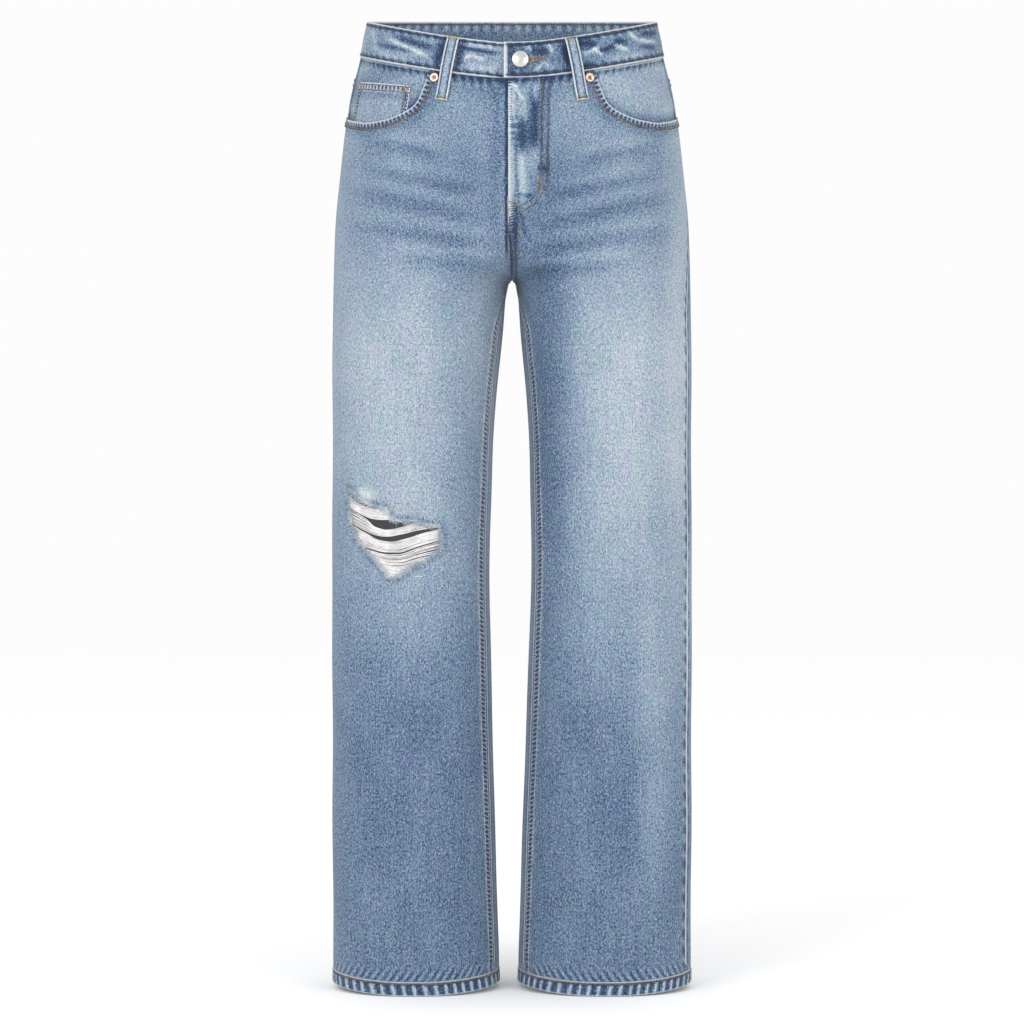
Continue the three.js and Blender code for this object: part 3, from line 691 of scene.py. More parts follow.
# %% Leg panels
# The top edges of the panels, as (t, s) stations, and the level rows that each panel's grid ends with.
POCKET_MOUTH = [(0.157, BAND), (0.178, 75), (0.21, 89), (0.26, 100), (0.33, 106), (0.41, 105), (0.5, 102)]
YOKE_SEAM = [(0.5, 70), (0.75, 92), (1.0, 108)]
MOUTH_START = POCKET_MOUTH[0][0]
LEVEL_FROM = 190
LEVEL_ROWS = np.concatenate([np.arange(LEVEL_FROM, 240, 2.9), np.arange(240, 290, 1.7),
                             np.linspace(290, HEM_TOP, 190)])


def even_places(side, start, end, rows, columns, crowd=1.0):
    """For each row, places round the leg from one place to another, crowded to the start or evenly spaced."""
    dense = np.linspace(start, end, 160)
    points = bare_point(side, dense[None] + 0 * rows[:, None], rows[:, None] + 0 * dense[None])
    steps = np.linalg.norm(np.diff(points, axis=1), axis=-1)
    length = np.concatenate([np.zeros((len(rows), 1)), np.cumsum(steps, 1)], 1)
    shares = np.linspace(0, 1, columns) ** crowd
    return np.array([np.interp(shares * row[-1], row, dense) for row in length])


def panel_places(side, start, end, top, columns, top_rows, crowd=1.0):
    """Places of a leg panel: rows that follow its top edge and then become level."""
    nominal = np.concatenate([np.linspace(80, LEVEL_FROM, top_rows, endpoint=False), LEVEL_ROWS])
    t = even_places(side, start, end, nominal, columns, crowd)
    share = np.linspace(0, 1, top_rows, endpoint=False)[:, None]
    upper = mix(top(t[:top_rows]), LEVEL_FROM, share)
    lower = np.repeat(LEVEL_ROWS[:, None], columns, 1)
    return t, np.concatenate([upper, lower])


def pocket_mouth(t):
    return np.where(t < MOUTH_START, BAND, along(POCKET_MOUTH, t))


def yoke_seam(t):
    return along(YOKE_SEAM, t)


def seam(side, start, end, middle, count=60):
    """The flat line of a straight run of places between two (t, s) ends."""
    t, s = np.linspace(start[0], end[0], count), np.linspace(start[1], end[1], count)
    return flat(side, t, s, middle)


def yoke_line(side):
    """The flat line of the seam between yoke and back panel."""
    t = np.linspace(0.5, 1, 60)
    return flat(side, t, yoke_seam(t), BACK)


print("level rows of a leg panel:", len(LEVEL_ROWS))

# %% [markdown]
# ## Front panels
# The front panels carry most of what is seen: the curved pocket mouths with a turned edge, the fly whose
# edge passes the centre line on the wearer's left, and on the wearer's right the rip above the knee.

# %% Front panels
FRONT_COLUMNS, FRONT_TOP_ROWS, FRONT_CROWD = 118, 82, 1.5
FLY_LAP, FLY_UNDERLAP, FLY_RAISE, FLY_BOTTOM = 4, 10, 1.6, 205
MOUTH_TURNING, MOUTH_RAISE = 9.5, 0.9  # width and height of the turned edge of a pocket mouth
FELL, FELL_RAISE = 16.5, 0.7  # width at the thigh and height of the folded inseam
ROPE_REACH = 24  # how far from the inseam its ribs may reach
# The torn hole's outline, as (x, z) corners.
RIP = [(-173, -497), (-160, -508.5), (-148, -515.3), (-139, -517), (-132, -519), (-125, -531),
       (-100, -532), (-89, -536), (-77, -536), (-74, -546), (-74, -559), (-95, -574), (-110, -581),
       (-118, -588), (-127, -589), (-132, -581), (-148, -565), (-161, -550), (-166, -536), (-171, -513)]


def fell_share(s):
    """The folded inseam narrows towards the hem."""
    return 1 - 0.2 * ease(680, 1000, s)


def ragged(outline, step, wander, seed):
    """An outline cut into short steps that wander a little, as torn cloth does."""
    rng = np.random.default_rng(seed)
    corners = np.array(outline + outline[:1], float)
    length = np.concatenate([[0], np.cumsum(np.linalg.norm(np.diff(corners, axis=0), axis=1))])
    at = np.arange(0, length[-1], step)
    ring = np.stack([np.interp(at, length, corners[:, i]) for i in range(2)], 1)
    return ring + rng.normal(0, wander, ring.shape)


def inside(outline, points):
    """Which points of a plane lie inside a closed outline."""
    x, z = points[..., 0, None], points[..., 1, None]
    a, b = outline, np.roll(outline, -1, axis=0)
    crosses = (a[:, 1] > z) != (b[:, 1] > z)
    rise = np.where(b[:, 1] == a[:, 1], 1e-9, b[:, 1] - a[:, 1])
    at = a[:, 0] + (z - a[:, 1]) * (b[:, 0] - a[:, 0]) / rise
    return (crosses & (x < at)).sum(-1) % 2 == 1


def fly_pass(side, s):
    """How far a front panel's centre edge passes the centre line."""
    aside = FLY_LAP * (1 - ease(RISE - 24, RISE - 4, s))
    behind = FLY_UNDERLAP * (1 - ease(FLY_BOTTOM - 26, FLY_BOTTOM - 12, s))
    return aside if side > 0 else behind - aside * ease(FLY_BOTTOM - 26, FLY_BOTTOM - 8, s)


def fly_raise(x, s):
    """How far the layers of the fly lift the left panel."""
    return FLY_RAISE * (1 - ease(34, 44, x)) * (1 - ease(FLY_BOTTOM, FLY_BOTTOM + 14, s))


def on_front(side, t, s, out=0.0):
    """A point of a front panel, whose centre edge passes the centre line along the fly."""
    raised = fly_raise(np.abs(bare_point(side, t, s)[..., 0]), s) if side > 0 else 0
    point = cloth(side, t, s, out + raised)
    point[..., 0] -= side * fly_pass(side, s) * (1 - ease(0, 0.03, t))
    return point


def front_fade_and_painted_light(side, t, s, base, to_mouth, to_inseam):
    """How washed out a front panel is, darker on its folds, with painted shade below the band, by the pocket
    mouth and along the outline it shows, and painted light by the inseam.
    """
    # Painted shadow just below the band.
    fade = fade_and_painted_light_of(side, base) - 0.42 * (1 - ease(2, 9, s - BAND)) - 0.1 * (1 - ease(8, 30, s - BAND))
    on_fell = bell(to_inseam, 10.7, 3.2) - 0.9 * bell(to_inseam, 15.4, 1.2)
    fade = fade - 0.2 * on_fell * (s > RISE)
    # Painted light along the inseam's edge lifts the shade there.
    fade = fade + 0.15 * (1 - ease(4, 6.5, to_inseam)) * (s > RISE + 20)
    # Painted shade along the outline that the panel shows at its side.
    outline = ease(0.487, 0.496, t) if side > 0 else ease(0.469, 0.48, t)
    fade = fade - 0.6 * outline * ease(100, 116, s) * (1 - ease(540, 620, s))
    # Painted shade of a groove along the pocket mouth's stitch rows.
    fade = fade - 0.2 * bell(to_mouth, 7.4, 1.9)
    # It is also a little darker just beyond the pocket mouth's turned edge.
    return fade - 0.12 * ease(MOUTH_TURNING, MOUTH_TURNING + 1, to_mouth) * ease(24, 10, to_mouth)


def front_lines(side, mouth, inseam):
    """The lines that a front panel has ribs along: (flat line, pitch, reach, strength, slant)."""
    centre = seam(side, (0, BAND), (0, RISE - 8), FRONT, 120)
    waist = seam(side, (0, BAND), (MOUTH_START, BAND), FRONT)
    hem_line = seam(side, (0, HEM_TOP), (0.5, HEM_TOP), FRONT)
    if side > 0:
        last = (seam(side, (0.5, 104), (0.5, HEM_TOP), FRONT, 160), 18, 12, 1.1, 0.3)
    else:
        ring = ragged(RIP, 3.0, 0.5, 3)
        ring = -np.concatenate([ring, ring[:1]])
        last = (flat(side, place_at(side, *ring.T), ring[:, 1], FRONT), 3.6, 5, 1.3, 0.0)
    return [(waist, 9, 14, 0.8, 0.4), (hem_line, 8.5, 16, 0.9, 0.7), (mouth, 5.0, MOUTH_TURNING, 1.6, 0.0),
            (inseam, 4.8, ROPE_REACH, 1.7, 0.3), (centre, 3.2, 5.0, 2.2 if side > 0 else 0.5, 0.1), last]


def front_panel(side, name):
    t, s = panel_places(side, 0.0, 0.5, pocket_mouth, FRONT_COLUMNS, FRONT_TOP_ROWS, FRONT_CROWD)
    spread = flat(side, t, s, FRONT)
    mouth_t = np.linspace(MOUTH_START, 0.5, 80)
    mouth = flat(side, mouth_t, pocket_mouth(mouth_t), FRONT)
    inseam = seam(side, (0, RISE + 2), (0, HEM_TOP), FRONT, 160)
    to_mouth = distance_to(mouth, spread.reshape(-1, 2))[0].reshape(t.shape)
    to_inseam = distance_to(inseam, spread.reshape(-1, 2))[0].reshape(t.shape) / fell_share(s)
    base = bare_point(side, t, s)
    raised = MOUTH_RAISE * (1 - ease(MOUTH_TURNING - 1.2, MOUTH_TURNING + 0.6, to_mouth))
    raised += FELL_RAISE * (1 - ease(FELL - 1, FELL + 0.8, to_inseam)) * (s > RISE)
    points, normals = on_front(side, t, s, raised), outward(side, t, s)
    fade = front_fade_and_painted_light(side, t, s, base, to_mouth, to_inseam)
    numbers = seam_numbers(spread, fade, front_lines(side, mouth, inseam))
    edge = np.where((s < BAND + 9) | (s > HEM_TOP - 6), NO_EDGE, numbers["edge"])
    on_rope = ease(5.5, 7.5, to_inseam) * (1 - ease(13.5, 15, to_inseam))
    rope = np.where((s > RISE) & (to_inseam < ROPE_REACH), numbers["rope"] * on_rope, numbers["rope"])
    keep = None
    if side > 0:
        edge = np.where((base[..., 0] < 6) & (s < RISE - 10), 0.7 * edge, edge)
    else:
        # A thin painted shadow in the gap beside the fly's edge, where the left panel laps over.
        painted_shade_beside_fly = bell(points[..., 0], -5.6, 1.1) * (1 - ease(RISE - 34, RISE - 8, s))
        numbers["fade"] = fade - 0.85 * painted_shade_beside_fly
        points, keep, torn = tear(points)
        edge = np.where(torn, 0, edge)
        rope = np.where(torn, 1.2, rope)
    numbers.update(edge=edge, rope=rope)
    return sheet(name, points, normals, spread, numbers, keep=keep)


def tear(points):
    """Moves grid points onto the rip's outline and says which cells remain."""
    ring = ragged(RIP, 1.6, 0.45, 3)
    plane = points[..., [0, 2]]
    gone = inside(ring, plane)
    keep = ~(gone[:-1, :-1] & gone[1:, :-1] & gone[1:, 1:] & gone[:-1, 1:])
    moved = points.copy()
    hits = np.argwhere(gone)
    ends = np.roll(ring, -1, axis=0)
    step = ends - ring
    for r, c in hits:
        share = np.clip(((plane[r, c] - ring) * step).sum(1) / (step**2).sum(1), 0, 1)
        foot = ring + share[:, None] * step
        nearest = np.linalg.norm(foot - plane[r, c], axis=1).argmin()
        x, z = foot[nearest]
        moved[r, c] = (x, -section_depth(np.abs(x), -z, False), z)
    return moved, keep, gone


front_right = front_panel(-1, "front_right_denim")
front_left = front_panel(1, "front_left_denim")
print("front panels:", len(front_right.data.polygons), "and", len(front_left.data.polygons), "faces")

# %% [markdown]
# ## Back panels
# The back panels run from the yoke to the hem in the same way, with a centre-back seam above the crotch.

# %% Back panels
BACK_COLUMNS, BACK_TOP_ROWS = 84, 40


def back_panel(side, name):
    t, s = panel_places(side, 0.5, 1.0, yoke_seam, BACK_COLUMNS, BACK_TOP_ROWS)
    spread = flat(side, t, s, BACK)
    centre = seam(side, (1, 108), (1, RISE - 4), BACK, 120)
    inseam = seam(side, (1, RISE + 2), (1, HEM_TOP), BACK, 160)
    outseam = seam(side, (0.5, 72), (0.5, HEM_TOP), BACK, 160)
    hem_line = seam(side, (0.5, HEM_TOP), (1, HEM_TOP), BACK)
    lines = [(yoke_line(side), 7, 10, 0.8, 0.5), (hem_line, 8.5, 16, 0.9, 0.7), (inseam, 5, 7, 0.6, 0.4),
             (outseam, 18, 10, 0.5, 0.3), (centre, 6, 10, 0.8, 0.5)]
    fade = fade_and_painted_light_of(side, bare_point(side, t, s))
    # Painted shade along the outline that the back shows at its side.
    fade = fade - 0.33 * (1 - ease(0.508, 0.562, t)) * ease(80, 110, s) * (1 - ease(480, 600, s))
    # Painted light along the inseam's edge lifts the shade there.
    fade = fade + 0.16 * ease(0.955, 0.985, t) * (s > RISE + 20)
    numbers = seam_numbers(spread, fade, lines)
    numbers["edge"] = np.where(s > HEM_TOP - 6, NO_EDGE, numbers["edge"])
    return sheet(name, cloth(side, t, s), outward(side, t, s), spread, numbers)


back_right = back_panel(-1, "back_right_denim")
back_left = back_panel(1, "back_left_denim")
print("back panels:", len(back_right.data.polygons), "faces each")

# %% [markdown]
# ## Hip pieces behind the pocket mouths
# Behind each pocket mouth lies a facing, a shaped piece that runs up to the waistband. The one on the
# wearer's right carries the small coin pocket, with a turned top edge and its foot hidden in the pocket.

# %% Pocket facings and coin pocket
DENIM, LAYER_GAP = 1.2, 0.6
FACING_OUT = -(2 * DENIM + LAYER_GAP)
FACING_UNDER = 12  # how far a facing runs on behind the pocket mouth
COIN_TOP = (57, 62.5)  # s of the coin pocket's top edge at its two corners
COIN_PLACES = (0.2, 0.4)
COIN_OUT = FACING_OUT + DENIM + LAYER_GAP / 2


def patch_of_cloth(name, side, t, s, out, middle, fade, lines, thickness=DENIM):
    """A sheet from a grid of places."""
    spread = flat(side, t, s, middle)
    numbers = seam_numbers(spread, fade, lines)
    piece = sheet(name, cloth(side, t, s, out), outward(side, t, s), spread, numbers, thickness=thickness)
    return piece, spread


def patch_places(side, start, end, level, columns, rows):
    """Places of a patch, spaced evenly along one level, and each row's share of the way down."""
    t = even_places(side, start, end, np.array([level]), columns)
    return np.repeat(t, rows, 0), np.linspace(0, 1, rows)[:, None]


def pocket_facing(side, name):
    t, down = patch_places(side, MOUTH_START, 0.5, 70.0, 60, 34)
    s = mix(BAND, pocket_mouth(t) + FACING_UNDER, down)
    waist = seam(side, (MOUTH_START, BAND), (0.5, BAND), FRONT)
    under_mouth = pocket_mouth(t) - s
    # Darker towards the pocket mouth, partly less worn there and partly painted shade under its turned edge,
    # and a painted shadow just below the band.
    fade = (0.48 if side < 0 else 0.66) - 0.3 * ease(14, 0, under_mouth) - 0.36 * ease(6, 0.5, s - BAND)
    fade = fade + (0.1 if side < 0 else 0.04) * np.sin(s / 9 - t * 22)
    # Painted shade along the outline that the facing shows at its side.
    fade = fade - 0.4 * ease(0.453, 0.466, t) * (1 - 0.6 * ease(0.472, 0.492, t))
    out = FACING_OUT + 0.6 * np.sin(s / 6 + t * 40) * ease(0, 12, under_mouth) * ease(0, 10, s - BAND)
    out = mix(out, -0.1, ease(0.43, 0.5, t) * ease(1, 14, under_mouth))
    side_seam = seam(side, (0.5, BAND), (0.5, 102), FRONT)
    lines = [(waist, 9, 10, 0.8, 0.5), (side_seam, 14, 5, 0.4, 0.3)]
    return patch_of_cloth(name, side, t, s, out, FRONT, fade, lines)


def coin_pocket(name):
    t, down = patch_places(-1, *COIN_PLACES, 70.0, 44, 30)
    top = mix(*COIN_TOP, (t - COIN_PLACES[0]) / (COIN_PLACES[1] - COIN_PLACES[0]))
    s = mix(top, pocket_mouth(t) + FACING_UNDER / 2, down)
    corners = list(zip(COIN_PLACES, COIN_TOP))
    edge = seam(-1, *corners, FRONT, 40)
    inner = seam(-1, corners[0], (COIN_PLACES[0], 96), FRONT)
    outer = seam(-1, corners[1], (COIN_PLACES[1], 108), FRONT)
    band = 1 - ease(8.5, 10, s - top)
    fade = 0.6 + 0.08 * band - 0.16 * ease(9, 11, s - top) * ease(20, 12, s - top)
    out = COIN_OUT + 0.5 * band
    lines = [(edge, 5.2, 10, 1.9, 0.0), (inner, 6, 7, 0.7, 0.3), (outer, 6, 7, 0.7, 0.3)]
    return patch_of_cloth(name, -1, t, s, out, FRONT, fade, lines, thickness=1.1)


facing_right, facing_right_cut = pocket_facing(-1, "pocket_facing_right_denim")
facing_left, facing_left_cut = pocket_facing(1, "pocket_facing_left_denim")
coin, coin_cut = coin_pocket("coin_pocket_denim")
print("facing cut:", np.ptp(facing_right_cut, axis=(0, 1)).round(), "mm")

# %% [markdown]
# ## Yokes and back pockets
# The yoke is the wedge between the waistband and the back panel, deepest at the centre back. The back
# pockets are plain five-sided patches with a turned top, sewn on through two rows of stitches.

# %% Yokes and back pockets
# The patch's four corners as (x, s), how far its foot's point hangs below them, and its grid.
POCKET_CORNERS = [(163, 104), (41, 117), (156, 218), (47, 228)]
POCKET_POINT, POCKET_GRID = 26, 60
TURNED_TOP = 0.6  # how much the turned top stands out


def yoke(side, name):
    t, down = patch_places(side, 0.5, 1.0, 80.0, 96, 26)
    s = mix(BAND, yoke_seam(t), down)
    waist = seam(side, (0.5, BAND), (1, BAND), BACK)
    # A little painted shadow just below the band.
    fade = 0.52 + 0.05 * np.sin(t * 21) - 0.04 * ease(14, 2, s - BAND)
    raised = 0.5 * (1 - ease(8, 10, yoke_seam(t) - s))
    lines = [(waist, 9, 12, 0.7, 0.4), (yoke_line(side), 6, 9, 1.0, 0.5)]
    return patch_of_cloth(name, side, t, s, raised, BACK, fade, lines)


def pocket_grid(side):
    """Places of the five-sided patch; its lower edge runs down to a point."""
    shares = np.linspace(0, 1, POCKET_GRID)
    down, inwards = np.meshgrid(shares, shares, indexing="ij")
    x, s = (mix(mix(a, b, inwards), mix(c, d, inwards), down) for a, b, c, d in zip(*POCKET_CORNERS))
    s = s + POCKET_POINT * down * (1 - np.abs(2 * inwards - 1))
    return place_at(side, x, s, 1.0), s


def back_pocket(side, name):
    t, s = pocket_grid(side)
    spread = flat(side, t, s, BACK)
    outline = np.concatenate([spread[:, 0], spread[-1, 1:], spread[-2::-1, -1]])
    lines = [(outline, 7, 8, 0.8, 0.4), (spread[0], 6.5, 14, 1.0, 0.3)]
    to_top = s - s[0]
    out = LAYER_GAP + DENIM + TURNED_TOP * (1 - ease(15, 17, to_top))
    fade = fade_and_painted_light_of(side, bare_point(side, t, s)) + 0.06 - 0.14 * ease(15, 17, to_top) * ease(26, 18, to_top)
    return patch_of_cloth(name, side, t, s, out, BACK, fade, lines)


yoke_right, yoke_right_cut = yoke(-1, "yoke_right_denim")
yoke_left, yoke_left_cut = yoke(1, "yoke_left_denim")
pocket_right, pocket_right_cut = back_pocket(-1, "back_pocket_right_denim")
pocket_left, pocket_left_cut = back_pocket(1, "back_pocket_left_denim")
print("back pocket cut:", np.ptp(pocket_right_cut, axis=(0, 1)).round(), "mm")

# %% [markdown]
# ## Folded strips
# The waistband, belt loops and hems are strips folded from two or three layers, so they are thicker and
# have round edges. A strip is a tube: one closed section after another along its run.

# %% Making strips
def strip(name, rings, uv, numbers, ring=False):
    """A closed strip from sections (stations, points round the section, 3). A ring joins its two ends."""
    stations, around = rings.shape[:2]
    faces = grid_faces(stations + 1 if ring else stations, around, around=True) % (stations * around)
    points = rings.reshape(-1, 3)
    corner = points[faces]
    volume = (corner[:, 0] * np.cross(corner[:, 2] - corner[:, 0], corner[:, 3] - corner[:, 1])).sum()
    if volume < 0:
        faces = faces[:, ::-1]
    polygons = faces.tolist()
    if not ring:
        first, last = np.arange(around), np.arange(around) + (stations - 1) * around
        ends = [first[::-1], last] if volume < 0 else [first, last[::-1]]
        polygons += [end[::-1].tolist() for end in ends]
    flat_numbers = {word: np.broadcast_to(numbers.get(word, 0.0), (stations, around)).reshape(-1)
                    for word in SHEET_NUMBERS}
    return put_mesh(name, points, polygons, uv.reshape(-1, 2), flat_numbers, sharp=60)


def run_length(points):
    """The distance run along a line up to each of its points."""
    return np.concatenate([[0], np.cumsum(np.linalg.norm(np.diff(points, axis=0), axis=1))])


def strip_map(at, section_s, section_out):
    """A strip's own map: along its run, and round its section."""
    around = np.concatenate([[0], np.cumsum(np.hypot(np.diff(section_s), np.diff(section_out)))])
    return np.stack(np.broadcast_arrays(at, around[None]), -1)


# %% [markdown]
# ## Waistband
# One strip runs from its hidden end under the button, round the wearer's right side, the back and the left
# side, to the end that laps over it. Years of wear fold it: soft slanting dents cross it, and its top edge
# is rubbed white.

# %% Waistband
BAND_CLOTH, BAND_PROUD = 2.6, 1.0
BAND_LAP = 8.5  # how far the band's end runs past the centre line
UNDERLAP_X, UNDERLAP_DROP = 40, BAND_CLOTH + 1.2
BUTTON_X, BUTTON_S, BUTTONHOLE_END_X = 8.5, 19.5, 35
BAND_STEP = 1.7
BAND_ROWS, BAND_END_ROW = (3.2, 35.0), 4.6  # s of the stitched rows, and how far the last row is from the end
WEAR_GAIN, BACK_WEAR = 2.0, 0.6
# Worn creases drawn on the front of the band: (x and s at one end, x and s at the other, half width,
# amount). Pale ones stand up and dark ones are sunk. The dark lines beside the front loops are the loops'
# painted shadows.
BAND_CREASES_AND_LOOP_SHADOWS = [
    (-130, 13, -86, 25, 2.2, 0.3), (-122, 10, -80, 16, 3.6, -0.24), (-145, 21, -99, 22, 2, -0.2),
    (-140, 30, -105, 33, 5, 0.1), (-146, 6, -140, 30, 3, 0.12), (-69, 3, -79, 35, 5, -0.3),
    (-51, 3, -57, 35, 4, -0.26), (-54, 10, -12, 12.5, 2.2, -0.32), (-50, 6, -14, 7.5, 2.4, 0.16),
    (-50, 22, -42, 17, 1.6, 0.28), (-42, 17, -28, 21, 1.6, 0.28), (-46, 29, -16, 30, 3, 0.12),
    (4, 19, 5, 20, 13, 0.2), (17, 4, 20, 11, 1.5, 0.32), (37, 3, 42, 15, 1.5, 0.34),
    (19, 9, 38, 14, 4, -0.22), (22, 33, 33, 24, 1.7, 0.22), (33, 24, 44, 33, 1.7, 0.22),
    (53, 5, 61, 35, 4, -0.34), (68, 8, 88, 13, 4.5, -0.3), (83, 15, 94, 25, 1.6, 0.4),
    (73, 22, 89, 15, 1.8, 0.28), (88, 21, 110, 16, 3, -0.26), (104, 15, 121, 24, 1.6, 0.36),
    (106, 11, 120, 16, 2.6, -0.3), (121, 5, 130, 15, 1.7, 0.32), (130, 15, 150, 21, 1.7, 0.32),
    (134, 9, 152, 12, 2.6, -0.28), (132, 22, 150, 26, 2.2, -0.2), (74, 30, 84, 35, 3.5, -0.22),
    (96, 30, 140, 31, 4, 0.12),
]


def band_route():
    """Even steps along the band: side, place, how far inside the other end it lies, and overhang."""
    hidden = float(place_at(1, UNDERLAP_X, BAND / 2))
    dense = np.linspace(0, 1, 1500)
    parts = [(1, mix(hidden, 0, dense), UNDERLAP_DROP + 0 * dense, 0 * dense),
             (-1, dense, UNDERLAP_DROP * (1 - ease(0.008, 0.045, dense)), 0 * dense),
             (1, 1 - dense, 0 * dense, 0 * dense),
             (1, 0 * dense[:40], 0 * dense[:40], np.linspace(0, BAND_LAP, 40))]
    side = np.concatenate([np.full(len(part[1]), part[0]) for part in parts])
    t, drop, over = (np.concatenate([part[i] for part in parts]) for i in (1, 2, 3))
    points = np.where((side > 0)[:, None], bare_point(1, t, BAND / 2), bare_point(-1, t, BAND / 2))
    points[:, 0] -= over
    at = run_length(points)
    chosen = np.searchsorted(at, np.arange(0, at[-1], BAND_STEP))
    chosen = np.unique(np.append(chosen, len(at) - 1))
    return side[chosen], t[chosen], drop[chosen], over[chosen], at[chosen]


def band_point(side, t, s, drop, over, out):
    """A point of the waistband, from arrays of places on both sides."""
    lift = BAND_PROUD - drop + out
    both = [bare_point(w, t, s) + outward(w, t, s) * lift[..., None] for w in (1, -1)]
    point = np.where((side > 0)[..., None], *both)
    point[..., 0] -= over
    return point


def band_wear_and_shadows(x, s, front):
    """How much paler or darker the band is for its creases and the front loops' painted shadows; the hidden
    back has similar marks, the other way round.
    """
    wear_and_shadows = np.zeros(np.broadcast(x, s).shape)
    seen_x = np.where(front, x, 11 - 0.9 * x)
    for line in BAND_CREASES_AND_LOOP_SHADOWS:
        wear_and_shadows += WEAR_GAIN * line[5] * crease_line(seen_x, s, line)
    return wear_and_shadows


def band_folds(at, s):
    """Soft slanting dents across the band, deepest midway between its stitched edges."""
    waves = 0.3 * np.sin(at / 11 + s / 5) * np.sin(at / 43 + 1)
    waves = waves + 0.3 * np.sin(at / 5.2 - s / 6) * np.sin(at / 29)
    return waves * np.sin(np.pi * np.clip(s / BAND, 0, 1)) ** 0.7


def band_section():
    """The band's section, as its s and how far it stands out: up the face, over the fold, down the reverse."""
    half = BAND_CLOTH / 2
    turn = np.linspace(0, np.pi, 7)[1:-1]
    face_s = np.linspace(BAND - 0.5, half, 18)
    section_s = np.concatenate([face_s, half - half * np.sin(turn), face_s[::-1], [BAND, BAND]])
    section_out = np.concatenate([0 * face_s, half * np.cos(turn) - half, 0 * face_s - BAND_CLOTH,
                                  [-BAND_CLOTH + 0.6, -0.6]])
    return section_s, section_out


def waistband(name):
    side, t, drop, over, at = (v[:, None] for v in band_route())
    section_s, section_out = band_section()
    outer = section_out > -BAND_CLOTH / 2
    s, out = section_s[None] + 0 * at, section_out[None] + 0 * at
    x = np.where(side > 0, bare_point(1, t, s)[..., 0], bare_point(-1, t, s)[..., 0])
    wear_and_shadows = band_wear_and_shadows(x, s, t < 0.5) * np.where(t < 0.5, 1, BACK_WEAR)
    dents = band_folds(at, s) - 0.3 * bell(s, 3.4, 1) - 0.3 * bell(s, 35, 1)
    out = out + np.where(outer, 1, 0.6) * (dents + 1.2 * np.clip(wear_and_shadows, -0.4, 0.4))
    rings = band_point(*np.broadcast_arrays(side, t, s, drop, over, out))
    gap = np.minimum(s, BAND - s)
    edge = np.minimum(1.25 * gap, 0.45 * (at[-1] - at))
    fade = 0.46 + 0.05 * np.sin(at / 37) + 0.1 * band_folds(at, s) + wear_and_shadows + np.where(side > 0, -0.07, 0.07)
    # Painted shade in the grooves of the stitched rows near both edges.
    fade = fade - 0.45 * bell(gap, 3.3, 1.2)
    fade = np.where(outer, fade, 0.56 - 0.16 * ease(7, 14, s))
    rope = np.where(outer, 0.7 * (1 - ease(3, 11, gap)), 0.95 * ease(2.5, 5, s) * (1 - ease(8, 13, s)))
    pitch = np.where(outer, 10.5, 11.5)
    numbers = {"fade": fade, "edge": edge, "phase": (at + 0.5 * s * outer) * 2 * np.pi / pitch, "rope": rope}
    return strip(name, rings, strip_map(at, section_s, section_out), numbers)


band = waistband("waistband_denim")
print("waistband:", len(band.data.polygons), "faces,", round(float(band_route()[4][-1])), "mm long")

# %% [markdown]
# ## Belt loops
# Five narrow strips stand clear of the band and are tacked down at both ends. Their edges are folded and
# rubbed white, and two rows of stitches run along them.

# %% Belt loops
LOOP_WIDTH, LOOP_CLOTH = 12, 2
# How far a loop's inner face stands out, as (s, distance) stations from its top to its foot.
LOOP_ARCH = [(1, 1.9), (8, 3.6), (20, 4.6), (33, 4.4), (44, 2.8), (57, 1.1), (68, 0.9)]
LOOP_TOP, LOOP_FOOT = LOOP_ARCH[0][0], LOOP_ARCH[-1][0]
FRONT_LOOP_X = (60, 73)
SIDE_LOOP_PLACE, SIDE_LOOP_HALF_TURN = 0.65, 0.0125
LOOPS = ["front_right", "front_left", "side_right", "side_left", "back"]


def loop_place(word, across, s):
    """Side and place of a loop's point, and its x where that is set; across runs from -0.5 to 0.5."""
    side = -1 if word.endswith("right") else 1
    if word.startswith("front"):
        share = (s - LOOP_TOP) / (LOOP_FOOT - LOOP_TOP)
        return side, place_at(side, mix(*FRONT_LOOP_X, share) + across * LOOP_WIDTH, s), None
    if word.startswith("side"):
        return side, SIDE_LOOP_PLACE + 2 * across * SIDE_LOOP_HALF_TURN, None
    return side, 1.0 + 0 * s, across * LOOP_WIDTH


def loop_point(word, across, s, out):
    side, t, x = loop_place(word, across, s)
    point = bare_point(side, t, s) + outward(side, t, s) * np.asarray(out)[..., None]
    if x is not None:
        point[..., 0] = x
    return point


